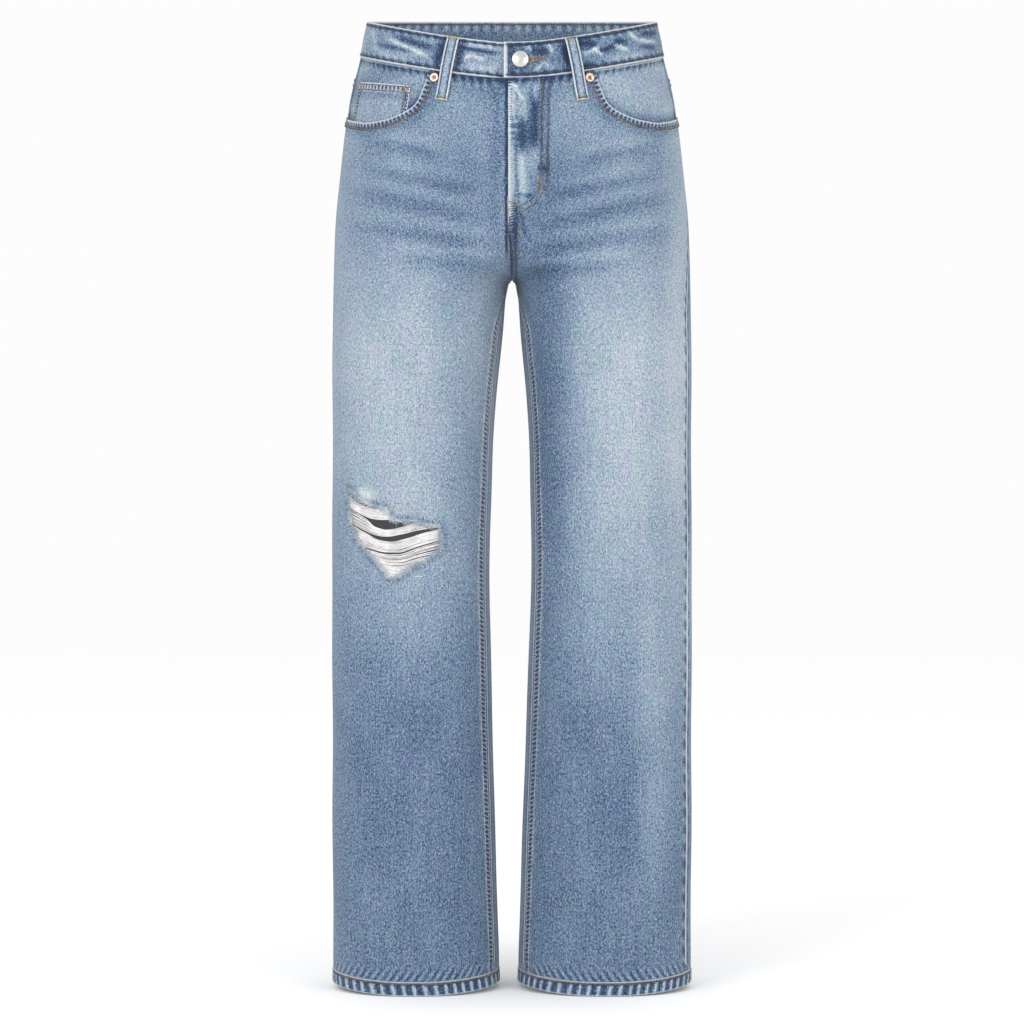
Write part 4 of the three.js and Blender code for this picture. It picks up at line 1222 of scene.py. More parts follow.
def belt_loop(word):
    s = np.linspace(LOOP_TOP, LOOP_FOOT, 60)[:, None]
    turn = np.linspace(0, 2 * np.pi, 28, endpoint=False)[None]
    across = 0.5 * np.sign(np.cos(turn)) * np.abs(np.cos(turn)) ** 0.55 + 0 * s
    up = 0.5 * np.sign(np.sin(turn)) * np.abs(np.sin(turn)) ** 0.5
    off_middle = np.abs(across) * LOOP_WIDTH
    groove = 0.35 * bell(off_middle, 3.8, 0.7) * (up > 0)
    ends = 0.35 * ease(4, 0, s - LOOP_TOP) + 0.3 * ease(4, 0, LOOP_FOOT - s)
    height = along(LOOP_ARCH, s) + LOOP_CLOTH / 2 + up * LOOP_CLOTH * (1 - 0.4 * ends) - groove
    rings = loop_point(word, *np.broadcast_arrays(across, s, height))
    edge = np.minimum(6 - off_middle + 0.4, np.minimum(s - 0.5, 69 - s))
    # Painted shade in the grooves of the two stitched rows, and on the inner face that lies against the band.
    fade = 0.78 - 0.56 * bell(off_middle, 3.7, 0.75) * (up > 0) - 0.4 * (up < 0)
    numbers = {"fade": fade, "edge": edge, "phase": s * 2 * np.pi / 5, "rope": 0.5 * (1 - ease(0.5, 3, edge))}
    uv = np.stack([across * LOOP_WIDTH + 100, s + 0 * edge], -1)
    return strip(f"belt_loop_{word}_denim", rings, uv, numbers)


loops = {word: belt_loop(word) for word in LOOPS}
print(len(loops), "belt loops of", LOOP_WIDTH, "mm")

# %% [markdown]
# ## Hems
# Each leg ends in a hem folded twice and sewn round. In the wash the two edges shrink by different
# amounts, and the hem twists into slanting ribs: their tops are rubbed pale and their valleys stay dark.

# %% Hems
HEM_CLOTH, HEM_PROUD = 3.0, 0.5
HEM_RIB = 10.4  # from one slanting rib to the next
HEM_STATIONS = 400


def hem(side, name):
    t = even_places(side, 0.0, 1.0, np.array([OUTSEAM - 6.0]), HEM_STATIONS + 1)[0][:-1, None]
    at = run_length(bare_point(side, t[:, 0], OUTSEAM - 6.0))[:, None]
    rng = np.random.default_rng(11 + side)
    wander = np.interp(at[:, 0], np.linspace(0, at[-1, 0], 60), np.cumsum(rng.normal(0, 0.5, 60)))[:, None]
    half = HEM_CLOTH / 2
    turn = np.linspace(0, np.pi, 7)[1:-1]
    top = HEM_TOP + 0.3
    face_s = np.linspace(top + 0.4, OUTSEAM - half, 13)
    section_s = np.concatenate([[top], face_s, OUTSEAM - half + half * np.sin(turn), face_s[::-1], [top]])
    section_out = np.concatenate([[-0.5], 0 * face_s, half * np.cos(turn) - half, 0 * face_s - HEM_CLOTH,
                                  [0.5 - HEM_CLOTH]])
    s, out = section_s[None] + 0 * at, section_out[None] + 0 * at
    phase = (at + 0.2 * (s - OUTSEAM)) * 2 * np.pi / HEM_RIB + 1.4 * wander
    outer = (section_out > -half)[None]
    out = out + np.where(outer, 0.45, 0.2) * np.sin(phase) * ease(OUTSEAM - 12, OUTSEAM - 7, s)
    out = out - 0.35 * bell(s - HEM_TOP, 2.2, 1) * outer
    rings = cloth(side, t + 0 * s, s, HEM_PROUD + out)
    edge = np.minimum(OUTSEAM - s + 0.3, s - top + 0.4)
    # Painted shade in the groove along the stitched row below the hem's top.
    numbers = {"fade": 0.48 - 0.5 * bell(s - HEM_TOP, 2.8, 1.3), "edge": edge, "phase": phase,
               "rope": 1.2 * ease(OUTSEAM - 12.5, OUTSEAM - 10.5, s)}
    return strip(name, rings, strip_map(at, section_s, section_out), numbers, ring=True)


hem_right, hem_left = hem(-1, "hem_right_denim"), hem(1, "hem_left_denim")
print("hem:", len(hem_right.data.polygons), "faces, ribs every", HEM_RIB, "mm")

# %% [markdown]
# ## Button and rivets
# The button and the rivets are pressed metal, round about their own axis. Each is a profile that is turned
# round that axis, then set on the cloth so that its axis leaves the cloth at a right angle.

# %% Button and rivets
# (radius, height) points from the foot to the middle of the top.
BUTTON_PROFILE = [(2.6, 0), (2.6, 5.2), (7.2, 5.25), (8.5, 5.7), (8.85, 6.4), (8.75, 7.1), (8.2, 7.6),
                  (7.7, 7.75), (7.2, 7.55), (6.8, 7.5), (6.2, 7.8), (4.6, 8.35), (2.4, 8.75), (0, 8.9)]
RIVET_PROFILE = [(0.5, 0), (4.0, 0), (4.8, 0.35), (5.0, 0.8), (4.75, 1.25), (4.0, 1.6), (3.0, 1.7),
                 (2.5, 1.45), (2.2, 1.0), (1.7, 0.9), (1.5, 1.3), (1.3, 1.9), (0.8, 2.25), (0, 2.35)]
RIVET_X, RIVET_S = 80, 45.5


def turned(name, profile, side, x, s, out, steps=64):
    """A profile of (radius, height) points turned round the axis that leaves the cloth at (x, s)."""
    t = place_at(side, x, s)
    seat = Vector((bare_point(side, t, s) + outward(side, t, s) * out).tolist()) * MM
    axis = Vector(outward(side, t, s).tolist())
    mesh = bmesh.new()
    points = [mesh.verts.new((radius * MM, 0, height * MM)) for radius, height in profile]
    edges = [mesh.edges.new(pair) for pair in zip(points, points[1:])]
    bmesh.ops.spin(mesh, geom=points + edges, cent=(0, 0, 0), axis=(0, 0, 1), angle=2 * math.pi, steps=steps)
    bmesh.ops.remove_doubles(mesh, verts=mesh.verts, dist=1e-6)
    foot = [edge for edge in mesh.edges if edge.is_boundary]
    bmesh.ops.holes_fill(mesh, edges=foot)
    bmesh.ops.recalc_face_normals(mesh, faces=mesh.faces)
    turn = axis.to_track_quat("Z", "Y")
    bmesh.ops.rotate(mesh, verts=mesh.verts, matrix=turn.to_matrix())
    bmesh.ops.translate(mesh, verts=mesh.verts, vec=seat)
    data = bpy.data.meshes.new(name)
    mesh.to_mesh(data)
    mesh.free()
    spread = np.array([(vertex.co - seat).cross(axis).length for vertex in data.vertices])
    keep_on_points(data, {"ring": spread / spread.max()})
    data.polygons.foreach_set("use_smooth", [True] * len(data.polygons))
    data.set_sharp_from_angle(angle=math.radians(50))
    return put(name, data)


def pressed_metal(name, colour, rough, spots, dark_rings):
    """Pressed metal with fine hammering, dull spots and dark rings: (from, to), as shares of its radius. The
    outer ring is painted shade round the rim.
    """
    finish = Finish(name)
    fine, patch = finish.grain(900.0, 3.0), finish.grain(260.0, 2.0)
    spots_and_dark_rings = finish.blend(patch.ease(0.0, 0.2), colour, spots)
    ring = finish.number("ring")
    # The outer ring paints shade round the rim; a rivet's centre is darker too.
    for low, high in dark_rings:
        spots_and_dark_rings = finish.blend(ring.ease(low, high), spots_and_dark_rings, (0.12, 0.12, 0.13, 1))
    finish.set(Base_Color=spots_and_dark_rings, Roughness=patch * 0.3 + rough, Normal=finish.bump(fine * 0.3, 0.25))
    return finish.set(Metallic=1.0)


button_metal = pressed_metal("button_metal", (0.62, 0.63, 0.61, 1), 0.3, (0.5, 0.51, 0.5, 1), [(0.93, 0.995)])
copper_metal = pressed_metal("rivet_metal", (0.6, 0.47, 0.41, 1), 0.34, (0.4, 0.29, 0.25, 1),
                             [(0.9, 1.0), (0.3, 0.16)])
brass_metal = pressed_metal("rivet_metal_brass", (0.68, 0.57, 0.42, 1), 0.34, (0.42, 0.32, 0.2, 1),
                            [(0.9, 1.0), (0.34, 0.2)])
SUNK = 0.3  # the foot of a turned piece stands this far in front of the layer that it is sunk in
button = turned("button_turned", BUTTON_PROFILE, 1, BUTTON_X, BUTTON_S, BAND_PROUD - UNDERLAP_DROP + SUNK)
rivet_right = turned("rivet_right_turned", RIVET_PROFILE, -1, RIVET_X, RIVET_S, LAYER_GAP + SUNK)
rivet_left = turned("rivet_left_turned", RIVET_PROFILE, 1, RIVET_X, RIVET_S, LAYER_GAP + SUNK)
print("button", len(button.data.polygons), "faces")

# %% [markdown]
# ## Stitches
# A sewing machine leaves one short, slightly raised stitch after another. Each row is first drawn as a
# line on the cloth that also knows which way the cloth faces. Geometry Nodes then step along the line at
# the stitch's pitch, lay one small grain of thread at each step, and join them all into one mesh.

# %% Tree that sews along lines
def new_tree(name, sockets):
    """A geometry tree with named inputs: (name, socket type, default)."""
    tree = bpy.data.node_groups.new(name, "GeometryNodeTree")
    tree.interface.new_socket("Geometry", in_out="INPUT", socket_type="NodeSocketGeometry")
    for word, kind, default in sockets:
        socket = tree.interface.new_socket(word, in_out="INPUT", socket_type=kind)
        if default is not None:
            socket.default_value = default
    tree.interface.new_socket("Geometry", in_out="OUTPUT", socket_type="NodeSocketGeometry")
    return tree, tree.nodes.new("NodeGroupInput"), tree.nodes.new("NodeGroupOutput")


def wire(tree, kind, settings=None, **inputs):
    """Adds a node; its inputs are given by socket name, with _ for a space, as links or values."""
    node = tree.nodes.new(kind)
    for word, setting in (settings or {}).items():
        setattr(node, word, setting)
    for word, value in inputs.items():
        socket = next(s for s in node.inputs if s.enabled and s.name == word.replace("_", " "))
        if isinstance(value, bpy.types.NodeSocket):
            tree.links.new(value, socket)
        else:
            socket.default_value = value
    return node


def painted(tree, given, last):
    """The last node's geometry with the thread's material on it."""
    thread = given.outputs["Thread"]
    return wire(tree, "GeometryNodeSetMaterial", Geometry=last.outputs[0], Material=thread).outputs[0]


def sewing_tree():
    tree, given, result = new_tree("sew_along_lines", [
        ("Pitch", "NodeSocketFloat", 0.0034), ("Stitch", "NodeSocketVector", (0.0028, 0.0008, 0.0006)),
        ("Turn", "NodeSocketFloat", 0.0), ("Unevenness", "NodeSocketFloat", 0.1),
        ("Thread", "NodeSocketMaterial", None)])
    line = wire(tree, "GeometryNodeMeshToCurve", Mesh=given.outputs["Geometry"])
    steps = wire(tree, "GeometryNodeResampleCurve", {"mode": "LENGTH"}, Curve=line.outputs[0],
                 Length=given.outputs["Pitch"])
    facing = wire(tree, "GeometryNodeInputNamedAttribute", {"data_type": "FLOAT_VECTOR"}, Name="facing")
    tangent = wire(tree, "GeometryNodeInputTangent")
    lie = wire(tree, "FunctionNodeAxesToRotation", {"primary_axis": "Z", "secondary_axis": "X"},
               Primary_Axis=facing.outputs[0], Secondary_Axis=tangent.outputs[0])
    jitter = wire(tree, "FunctionNodeRandomValue", {"data_type": "FLOAT"}, Min=-1.0, Max=1.0, Seed=4)
    skew = wire(tree, "ShaderNodeMath", {"operation": "MULTIPLY_ADD"})
    tree.links.new(jitter.outputs[1], skew.inputs[0])
    tree.links.new(given.outputs["Unevenness"], skew.inputs[1])
    tree.links.new(given.outputs["Turn"], skew.inputs[2])
    about = wire(tree, "ShaderNodeCombineXYZ", Z=skew.outputs[0])
    spin = wire(tree, "FunctionNodeEulerToRotation", Euler=about.outputs[0])
    turned_lie = wire(tree, "FunctionNodeRotateRotation", {"rotation_space": "LOCAL"}, Rotation=lie.outputs[0],
                      Rotate_By=spin.outputs[0])
    grain = wire(tree, "GeometryNodeMeshUVSphere", Segments=6, Rings=4, Radius=0.5)
    thread = wire(tree, "GeometryNodeTransform", Geometry=grain.outputs[0], Scale=given.outputs["Stitch"])
    laid = wire(tree, "GeometryNodeInstanceOnPoints", Points=steps.outputs[0], Instance=thread.outputs[0],
                Rotation=turned_lie.outputs[0])
    real = wire(tree, "GeometryNodeRealizeInstances", Geometry=laid.outputs[0])
    smooth = wire(tree, "GeometryNodeSetShadeSmooth", Geometry=real.outputs[0])
    tree.links.new(painted(tree, given, smooth), result.inputs[0])
    return tree


def lines_object(name, runs, numbers=None):
    """A mesh of edges from runs of (points, directions), in millimetres."""
    points = np.concatenate([run[0] for run in runs])
    facing = np.concatenate([run[1] for run in runs])
    starts = np.cumsum([0] + [len(run[0]) for run in runs[:-1]])
    edges = [(a + i, a + i + 1) for a, run in zip(starts, runs) for i in range(len(run[0]) - 1)]
    mesh = bpy.data.meshes.new(name)
    mesh.from_pydata((points * MM).tolist(), edges, [])
    kept = mesh.attributes.new("facing", "FLOAT_VECTOR", "POINT")
    kept.data.foreach_set("vector", facing.astype(np.float32).ravel())
    keep_on_points(mesh, numbers or {})
    return put(name, mesh)


def grown(name, source, tree, **inputs):
    """Runs a tree on an object and keeps the result as a plain mesh; the source is removed."""
    modifier = source.modifiers.new("made", "NODES")
    modifier.node_group = tree
    for item in tree.interface.items_tree:
        word = item.name.replace(" ", "_")
        if item.in_out == "INPUT" and word in inputs:
            modifier[item.identifier] = inputs[word]
    evaluated = source.evaluated_get(bpy.context.evaluated_depsgraph_get())
    mesh = bpy.data.meshes.new_from_object(evaluated)
    mesh.name = name
    mesh.materials.clear()
    mesh.materials.append(inputs["Thread"])
    bpy.data.objects.remove(source)
    return put(name, mesh)


def cotton(name, colour, dark):
    """Twisted cotton thread, with a fine change of tone from strand to strand."""
    finish = Finish(name)
    strand, patch = finish.grain(700.0, 2.0), finish.grain(60.0, 2.0)
    colour = finish.blend((strand + patch).ease(-0.2, 0.25), dark, colour)
    finish.set(Base_Color=colour, Roughness=0.85, Normal=finish.bump(strand * 0.4, 0.4))
    return finish.set(Sheen_Weight=0.2, Specular_IOR_Level=0.3)


brown_thread = cotton("brown_thread", tone(146, 118, 94), tone(78, 62, 56))
dark_thread = cotton("dark_thread", tone(112, 92, 80), tone(54, 50, 54))
tack_thread = cotton("tack_thread", tone(204, 170, 122), tone(140, 104, 66))
pale_thread = cotton("pale_thread", tone(214, 206, 202), tone(160, 158, 164))
sew = sewing_tree()
print("sewing tree:", len(sew.nodes), "nodes")

# %% [markdown]
# ## Where the rows of stitches run
# Two rows follow each pocket mouth, the fly, the inseams, the yoke and the back pockets, and one row follows
# the top and foot of the waistband and each hem. Short dense rows, the bar tacks, hold the ends that are
# pulled on.

# %% Rows of stitches
def row(side, t, s, out, point=cloth):
    """A row of stitches on one side's cloth."""
    t, s = np.broadcast_arrays(np.asarray(t, float), np.asarray(s, float))
    return point(side, t, s, out), outward(side, t, s)


def beside(side, t, s, distance, out):
    """A row at a distance beside a line of places on the front."""
    return row(side, *offset_line(side, t, s, distance), out)


def smooth_curve(corners, count=90):
    """A smooth run through a few (x, s) points."""
    corners = np.array(corners, float)
    at = run_length(corners)
    dense = np.linspace(0, at[-1], count)
    rounded = np.stack([np.interp(dense, at, corners[:, i]) for i in range(2)], 1)
    window = np.hanning(11) / np.hanning(11).sum()
    padded = np.pad(rounded, ((5, 5), (0, 0)), mode="edge")
    inner = np.stack([np.convolve(padded[:, i], window, "valid") for i in range(2)], 1)
    inner[0], inner[-1] = rounded[0], rounded[-1]
    return inner


# How far the two rows of a pair lie from the edge they follow.
MOUTH_ROWS, INSEAM_ROWS, SEAM_ROWS = (6.2, 8.6), (6.4, 15.2), (2.0, 7.6)
# Rows on the fly as (x, depth below the origin) corners, and its bar tacks as two such ends each.
FLY_ROWS = [[(38.6, 75), (37.4, 128), (36.4, 178), (32.7, 192), (23.8, 205), (10.6, 213), (-3, 215.5)],
            [(31.9, 75), (30.2, 128), (29.8, 172), (27.2, 190), (19.5, 201.5), (8, 207), (-3, 210)]]
FLY_TACKS = [[(29.4, 181), (28.8, 191)], [(-5, 202.6), (4.6, 202.6)], [(-3.4, 208), (-3.6, 216)]]
ON_CLOTH = 0.15  # how far a row's middle stands out of the cloth
ALONG_ROW = np.linspace(0, 1, 120)


def mouth_rows(side):
    t = mix(MOUTH_START, 0.497, ALONG_ROW)
    return [beside(side, t, pocket_mouth(t), gap, MOUTH_RAISE + ON_CLOTH) for gap in MOUTH_ROWS]


def inseam_rows(side):
    s = mix(RISE + 4, HEM_TOP - 1, ALONG_ROW)
    return [beside(side, 0 * s, s, -gap * fell_share(s), FELL_RAISE + ON_CLOTH) for gap in INSEAM_ROWS]


def on_fly(corners, out=ON_CLOTH):
    """A row on the fly through (x, depth) corners."""
    x, depth = np.asarray(corners, float).T
    s = depth.copy()
    for _ in range(12):
        t = place_at(1, np.maximum(x, 0), s)
        s += bare_point(1, t, s)[:, 2] + depth
    points, normals = on_front(1, t, s, out), outward(1, t, s)
    points[:, 0] = x
    return points, normals


def fly_rows():
    """The fly's two curved rows, a short one beside the loop, and the two on the seam below the fly."""
    rows = [on_fly(smooth_curve(corners)) for corners in FLY_ROWS]
    rows.append(on_fly(np.linspace((50, 79), (56, 76.5), 8)))
    below = mix(218, RISE - 16, ALONG_ROW)
    return rows + [row(1, place_at(1, x, below), below, ON_CLOTH, on_front) for x in (1.4, 7.0)]


def back_rows():
    rows = []
    for side in (-1, 1):
        t = mix(0.5, 1.0, ALONG_ROW)
        rows += [row(side, t, yoke_seam(t) - gap, 0.5 + ON_CLOTH) for gap in SEAM_ROWS]
        patch = pocket_grid(side)
        for i in (2, 6):
            j = -1 - i
            places = [np.concatenate([v[:j, i], v[j, i:j], v[j::-1, j]]) for v in patch]
            rows.append(row(side, *places, LAYER_GAP + DENIM + 0.1 + ON_CLOTH))
        for i in (1, 7):
            rows.append(row(side, patch[0][i], patch[1][i], LAYER_GAP + DENIM + TURNED_TOP + ON_CLOTH))
    below = mix(112, RISE - 10, ALONG_ROW)
    return rows + [row(1, place_at(1, x, below, 1.0), below, ON_CLOTH) for x in SEAM_ROWS]


def on_band(x, s, out):
    """Points on the band's face on the wearer's left, and their directions."""
    t = place_at(1, x, s)
    return bare_point(1, t, s) + outward(1, t, s) * (BAND_PROUD + out), outward(1, t, s)


def band_rows():
    """Rows on the band's face, on its reverse, and down its lapped end."""
    side, t, drop, over, at = band_route()
    shown = ~((side > 0) & (drop > 0)) & (at < at[-1] - 3)
    side, t, drop, over = (v[shown] for v in (side, t, drop, over))
    normals = np.where((side > 0)[:, None], outward(1, t, BAND / 2), outward(-1, t, BAND / 2))
    rows = []
    for way, level in ((1, -0.1), (-1, -BAND_CLOTH - 0.1)):
        for s in BAND_ROWS:
            points = band_point(side, t, s + 0 * t, drop, over, level + way * ON_CLOTH + 0 * t)
            rows.append((points, way * normals))
    end_s = np.linspace(*BAND_ROWS, 30)
    points, normals = on_band(0.0, end_s, ON_CLOTH)
    points[:, 0] = BAND_END_ROW - BAND_LAP
    return rows + [(points, normals)]


def coin_rows():
    """Two rows below the coin pocket's top edge and two inside each of its sides."""
    t = mix(0.203, 0.397, ALONG_ROW)
    top = mix(*COIN_TOP, ALONG_ROW)
    rows = [row(-1, t, top + gap, COIN_OUT + 0.5 + ON_CLOTH) for gap in (2.0, 8.0)]
    for place, top_s, inward in zip(COIN_PLACES, COIN_TOP, (1, -1)):
        down = mix(top_s + 1, float(pocket_mouth(place)) + 3, ALONG_ROW[::4])
        for gap in (1.6, 6.2):
            rows.append(beside(-1, place + 0 * down, down, -inward * gap, COIN_OUT + ON_CLOTH + 0.1))
    return rows


def on_loop(word, across, s, out):
    """A row on a belt loop's outer face, from shares across it and distances down."""
    across, s = np.broadcast_arrays(np.asarray(across, float), np.asarray(s, float))
    side, t, _ = loop_place(word, across, s)
    lift = along(LOOP_ARCH, s) + LOOP_CLOTH + out
    return loop_point(word, across, s, lift), outward(side, t + 0 * s, s)


def loop_rows():
    s = np.linspace(3, 66, 50)
    return [on_loop(word, across, s, -0.3 + ON_CLOTH) for word in LOOPS for across in (-0.31, 0.31)]


def hem_rows():
    t = np.linspace(0, 1, 300)
    return [row(side, t, HEM_TOP + 2.6, HEM_PROUD - 0.3 + ON_CLOTH) for side in (-1, 1)]


TACK_STEPS = 8


def tack(side, x, s, length, out, centre=0.0):
    """An upright bar tack, centred on (x, s) of the front (centre 0) or the back (centre 1)."""
    down = s + np.linspace(-length / 2, length / 2, TACK_STEPS)
    return row(side, place_at(side, x, down, centre), down, out)


def tacks():
    """Tacks on the fly, the pocket corners, the coin pocket and the loops, and one behind the band."""
    rows = [on_fly(np.linspace(*ends, TACK_STEPS), 0.3) for ends in FLY_TACKS]
    for side in (-1, 1):
        rows.append(tack(side, 173, 107, 8, 1.2))
        rows += [tack(side, x, s, 8, 2.6, 1.0) for x, s in ((159, 107), (45, 120))]
    rows += [tack(-1, x, s, 7, COIN_OUT + 0.9) for x, s in ((112.5, 63), (159, 68.5))]
    across = np.linspace(-0.42, 0.42, TACK_STEPS)
    rows += [on_loop(word, across, s, 0.05) for word in LOOPS for s in (2.6, 65.5)]
    top = bare_point(1, 1.0, 3.4) - outward(1, 1.0, 3.4) * (BAND_CLOTH - BAND_PROUD + 0.2)
    shift = np.linspace((-4, 0, 0), (4, 0, 0), TACK_STEPS)
    return rows + [(top + shift, -outward(1, np.ones(TACK_STEPS), 3.4))]


ACROSS = math.pi / 2  # turns each stitch across its row


def sewn(name, runs, thread, pitch=3.3, stitch=(3.0, 1.5, 1.0), turn=0.0):
    """Stitches of (length, width, height) along rows, one at each pitch."""
    source = lines_object(name + "_lines", runs)
    made = grown(name, source, sew, Pitch=pitch * MM, Stitch=[v * MM for v in stitch], Turn=turn, Thread=thread)
    stitches[name] = made


stitches = {}
sewn("stitches_front", mouth_rows(-1) + mouth_rows(1) + fly_rows() + coin_rows(), brown_thread)
sewn("stitches_inseam", inseam_rows(-1) + inseam_rows(1), pale_thread)
sewn("stitches_back", back_rows(), brown_thread)
sewn("stitches_waistband", band_rows(), dark_thread, stitch=(3.0, 1.3, 0.9))
sewn("stitches_loops", loop_rows(), dark_thread, pitch=2.9, stitch=(2.4, 0.8, 0.6))
sewn("stitches_hems", hem_rows(), brown_thread, pitch=2.6, stitch=(2.7, 1.9, 1.1))
sewn("bar_tacks", tacks(), tack_thread, pitch=0.75, stitch=(2.6, 0.75, 0.6), turn=ACROSS)
print("stitch meshes:", {word: len(piece.data.polygons) for word, piece in stitches.items()})

# %% [markdown]
# ## Buttonhole thread
# The keyhole buttonhole is edged with close stitches that lie across its cut: two rows meet at the bar.

# %% Buttonhole
BAR_X = BUTTONHOLE_END_X - 6  # where the cut ends and the bar begins
BUTTONHOLE_RAISE = 0.45


def buttonhole_rows():
    """Two rows that close in on the bar, and the bar."""
    x = np.linspace(BUTTON_X + 8, BAR_X, 30)
    apart = 1.4 + 1.0 * (BAR_X - x) / 12
    rows = [on_band(x, BUTTON_S + way * apart, BUTTONHOLE_RAISE) for way in (-1, 1)]
    return rows + [on_band(np.linspace(BAR_X, BUTTONHOLE_END_X + 1, 12), BUTTON_S, BUTTONHOLE_RAISE)]


sewn("buttonhole_thread", buttonhole_rows(), tack_thread, pitch=0.7, stitch=(2.6, 0.7, 0.7), turn=ACROSS)
print("buttonhole:", len(stitches["buttonhole_thread"].data.polygons), "faces")

# %% [markdown]
# ## Bare threads across the rip
# Where the blue warp threads have worn through, the white weft threads still span the hole and sag. They
# hang in four bands with dark gaps between. Each band has an upper and a lower edge, and its threads are
# spread between the two.

# %% Weft threads
# Upper and lower edge of each band, as (x, z) points, and how many threads it holds.
WEFT_BANDS = [
    ([(-177, -499), (-167, -508), (-158, -514), (-148, -517.5), (-138, -519), (-127, -521)],
     [(-175, -515), (-154, -526.5), (-144, -529.5), (-135, -530.2), (-122, -530)], 17),
    ([(-175, -516.5), (-153, -529), (-143, -537.5), (-130.5, -540.5), (-116, -538), (-98.5, -532.5),
      (-87, -532)],
     [(-171, -533), (-152.5, -542), (-142, -546), (-130.5, -547.5), (-116, -545.5), (-99.5, -541.5),
      (-80, -537.5)], 11),
    ([(-170.5, -533.5), (-151.5, -544.5), (-139, -551), (-126.5, -553), (-112, -550), (-95, -544.5),
      (-71, -538.5)],
     [(-164, -554), (-145, -561), (-129, -564), (-117, -563.8), (-99.5, -558), (-86, -554), (-71, -550)], 17),
    ([(-164, -555.5), (-144, -562.5), (-129, -565.5), (-117, -565.2), (-99.5, -559.4), (-86, -555.4),
      (-71, -551.5)],
     [(-139, -584), (-130, -588), (-122, -591), (-114, -592), (-106, -592), (-98, -591), (-88, -591)], 32),
]
THREAD_RADIUS, THREAD_POINTS = 0.5, 46


def thread_tree():
    """Turns lines into round threads whose thickness is kept on their points."""
    sockets = [("Sides", "NodeSocketInt", 6), ("Thread", "NodeSocketMaterial", None)]
    tree, given, result = new_tree("spin_threads", sockets)
    line = wire(tree, "GeometryNodeMeshToCurve", Mesh=given.outputs["Geometry"])
    thick = wire(tree, "GeometryNodeInputNamedAttribute", {"data_type": "FLOAT"}, Name="thick")
    circle = wire(tree, "GeometryNodeCurvePrimitiveCircle", Resolution=given.outputs["Sides"], Radius=MM)
    tube = wire(tree, "GeometryNodeCurveToMesh", Curve=line.outputs[0], Profile_Curve=circle.outputs[0],
                Scale=thick.outputs[0], Fill_Caps=True)
    smooth = wire(tree, "GeometryNodeSetShadeSmooth", Geometry=tube.outputs[0])
    real = wire(tree, "GeometryNodeRealizeInstances", Geometry=smooth.outputs[0])
    tree.links.new(painted(tree, given, real), result.inputs[0])
    return tree


def on_plane(x, z, out):
    """A point in front of or behind the wearer's right front, from its x and z below the hips."""
    return cloth(-1, place_at(-1, -x, -z), -z, out)


def threads_object(name, lines, outs, thick):
    """Threads to be spun, from their (x, z) points, how far those stand out, and how thick they are there."""
    points = on_plane(*np.moveaxis(np.array(lines), -1, 0), np.array(outs))
    return lines_object(name, [(run, 0 * run) for run in points], {"thick": np.concatenate(thick)})


def curve_through(corners, count):
    """A smooth line of points through a few corners."""
    corners = np.array(corners, float)
    at = run_length(corners)
    stations = [np.stack([at, corners[:, i]], 1) for i in range(2)]
    dense = np.linspace(0, at[-1], count)
    return np.stack([along(station, dense) for station in stations], 1)


def weft_threads():
    rng = np.random.default_rng(21)
    lines, outs, thick = [], [], []
    share = np.linspace(0, 1, THREAD_POINTS)
    for upper, lower, count in WEFT_BANDS:
        top, bottom = curve_through(upper, THREAD_POINTS), curve_through(lower, THREAD_POINTS)
        for i in range(count):
            level = (i + 0.5 + rng.normal(0, 0.18)) / count
            level = level + 0.25 / count * np.sin(share * rng.uniform(4, 9) + rng.uniform(0, 6))
            lines.append(mix(top, bottom, np.clip(level, 0, 1)[:, None]))
            inner = ease(0, 0.12, share) * ease(0, 0.12, 1 - share)
            out = mix(-1.9, -0.8 + rng.normal(0, 0.2), inner)
            outs.append(out + 0.12 * np.sin(share * 14 + rng.uniform(0, 6)))
            radius = THREAD_RADIUS * rng.uniform(0.62, 1.08)
            thick.append(radius * (1 + 0.14 * np.sin(share * rng.uniform(30, 60) + rng.uniform(0, 6))))
    return threads_object("weft_lines", lines, outs, thick)


spin = thread_tree()
weft_cotton = cotton("torn_weft", (0.8, 0.78, 0.775, 1), (0.6, 0.585, 0.585, 1))
weft = grown("torn_weft_threads", weft_threads(), spin, Sides=6, Thread=weft_cotton)
print("weft threads:", sum(count for *_, count in WEFT_BANDS), "in", len(weft.data.polygons), "faces")

# %% [markdown]
# ## Frayed rim of the rip
# Short ends of broken threads stand out all round the hole. They are drawn as short bent lines that start
# in the cloth and lean into the hole, pale blue like the worn rim, and are spun like the weft threads.

# %% Frayed rim
def frayed_rim():
    rng = np.random.default_rng(5)
    ring = ragged(RIP, 0.4, 0.4, 8)
    run = np.roll(ring, -1, axis=0) - np.roll(ring, 1, axis=0)
    run /= np.linalg.norm(run, axis=1, keepdims=True)
    inwards = np.stack([-run[:, 1], run[:, 0]], 1)
    middle = np.mean(RIP, axis=0)
    inwards *= np.where(((middle - ring) * inwards).sum(1) > 0, 1, -1)[:, None]
    lines, outs, thick = [], [], []
    share = np.linspace(0, 1, 5)[:, None]
    for foot, away in zip(ring, inwards):
        for _ in range(3):
            lean = away * rng.uniform(-1.2, 0.8) + rng.normal(0, 0.6, 2) + np.array([0, -0.2])
            length = rng.gamma(2.2, 1.05)
            bend = rng.normal(0, 1.1, 2)
            lines.append(foot - away * rng.uniform(0, 2.2) + lean * length * share + bend * share**2)
            outs.append(mix(0.1, rng.uniform(0.3, 1.8), share[:, 0]))
            thick.append(rng.uniform(0.2, 0.36) * (1 - 0.5 * share[:, 0]))
    return threads_object("rim_lines", lines, outs, thick)


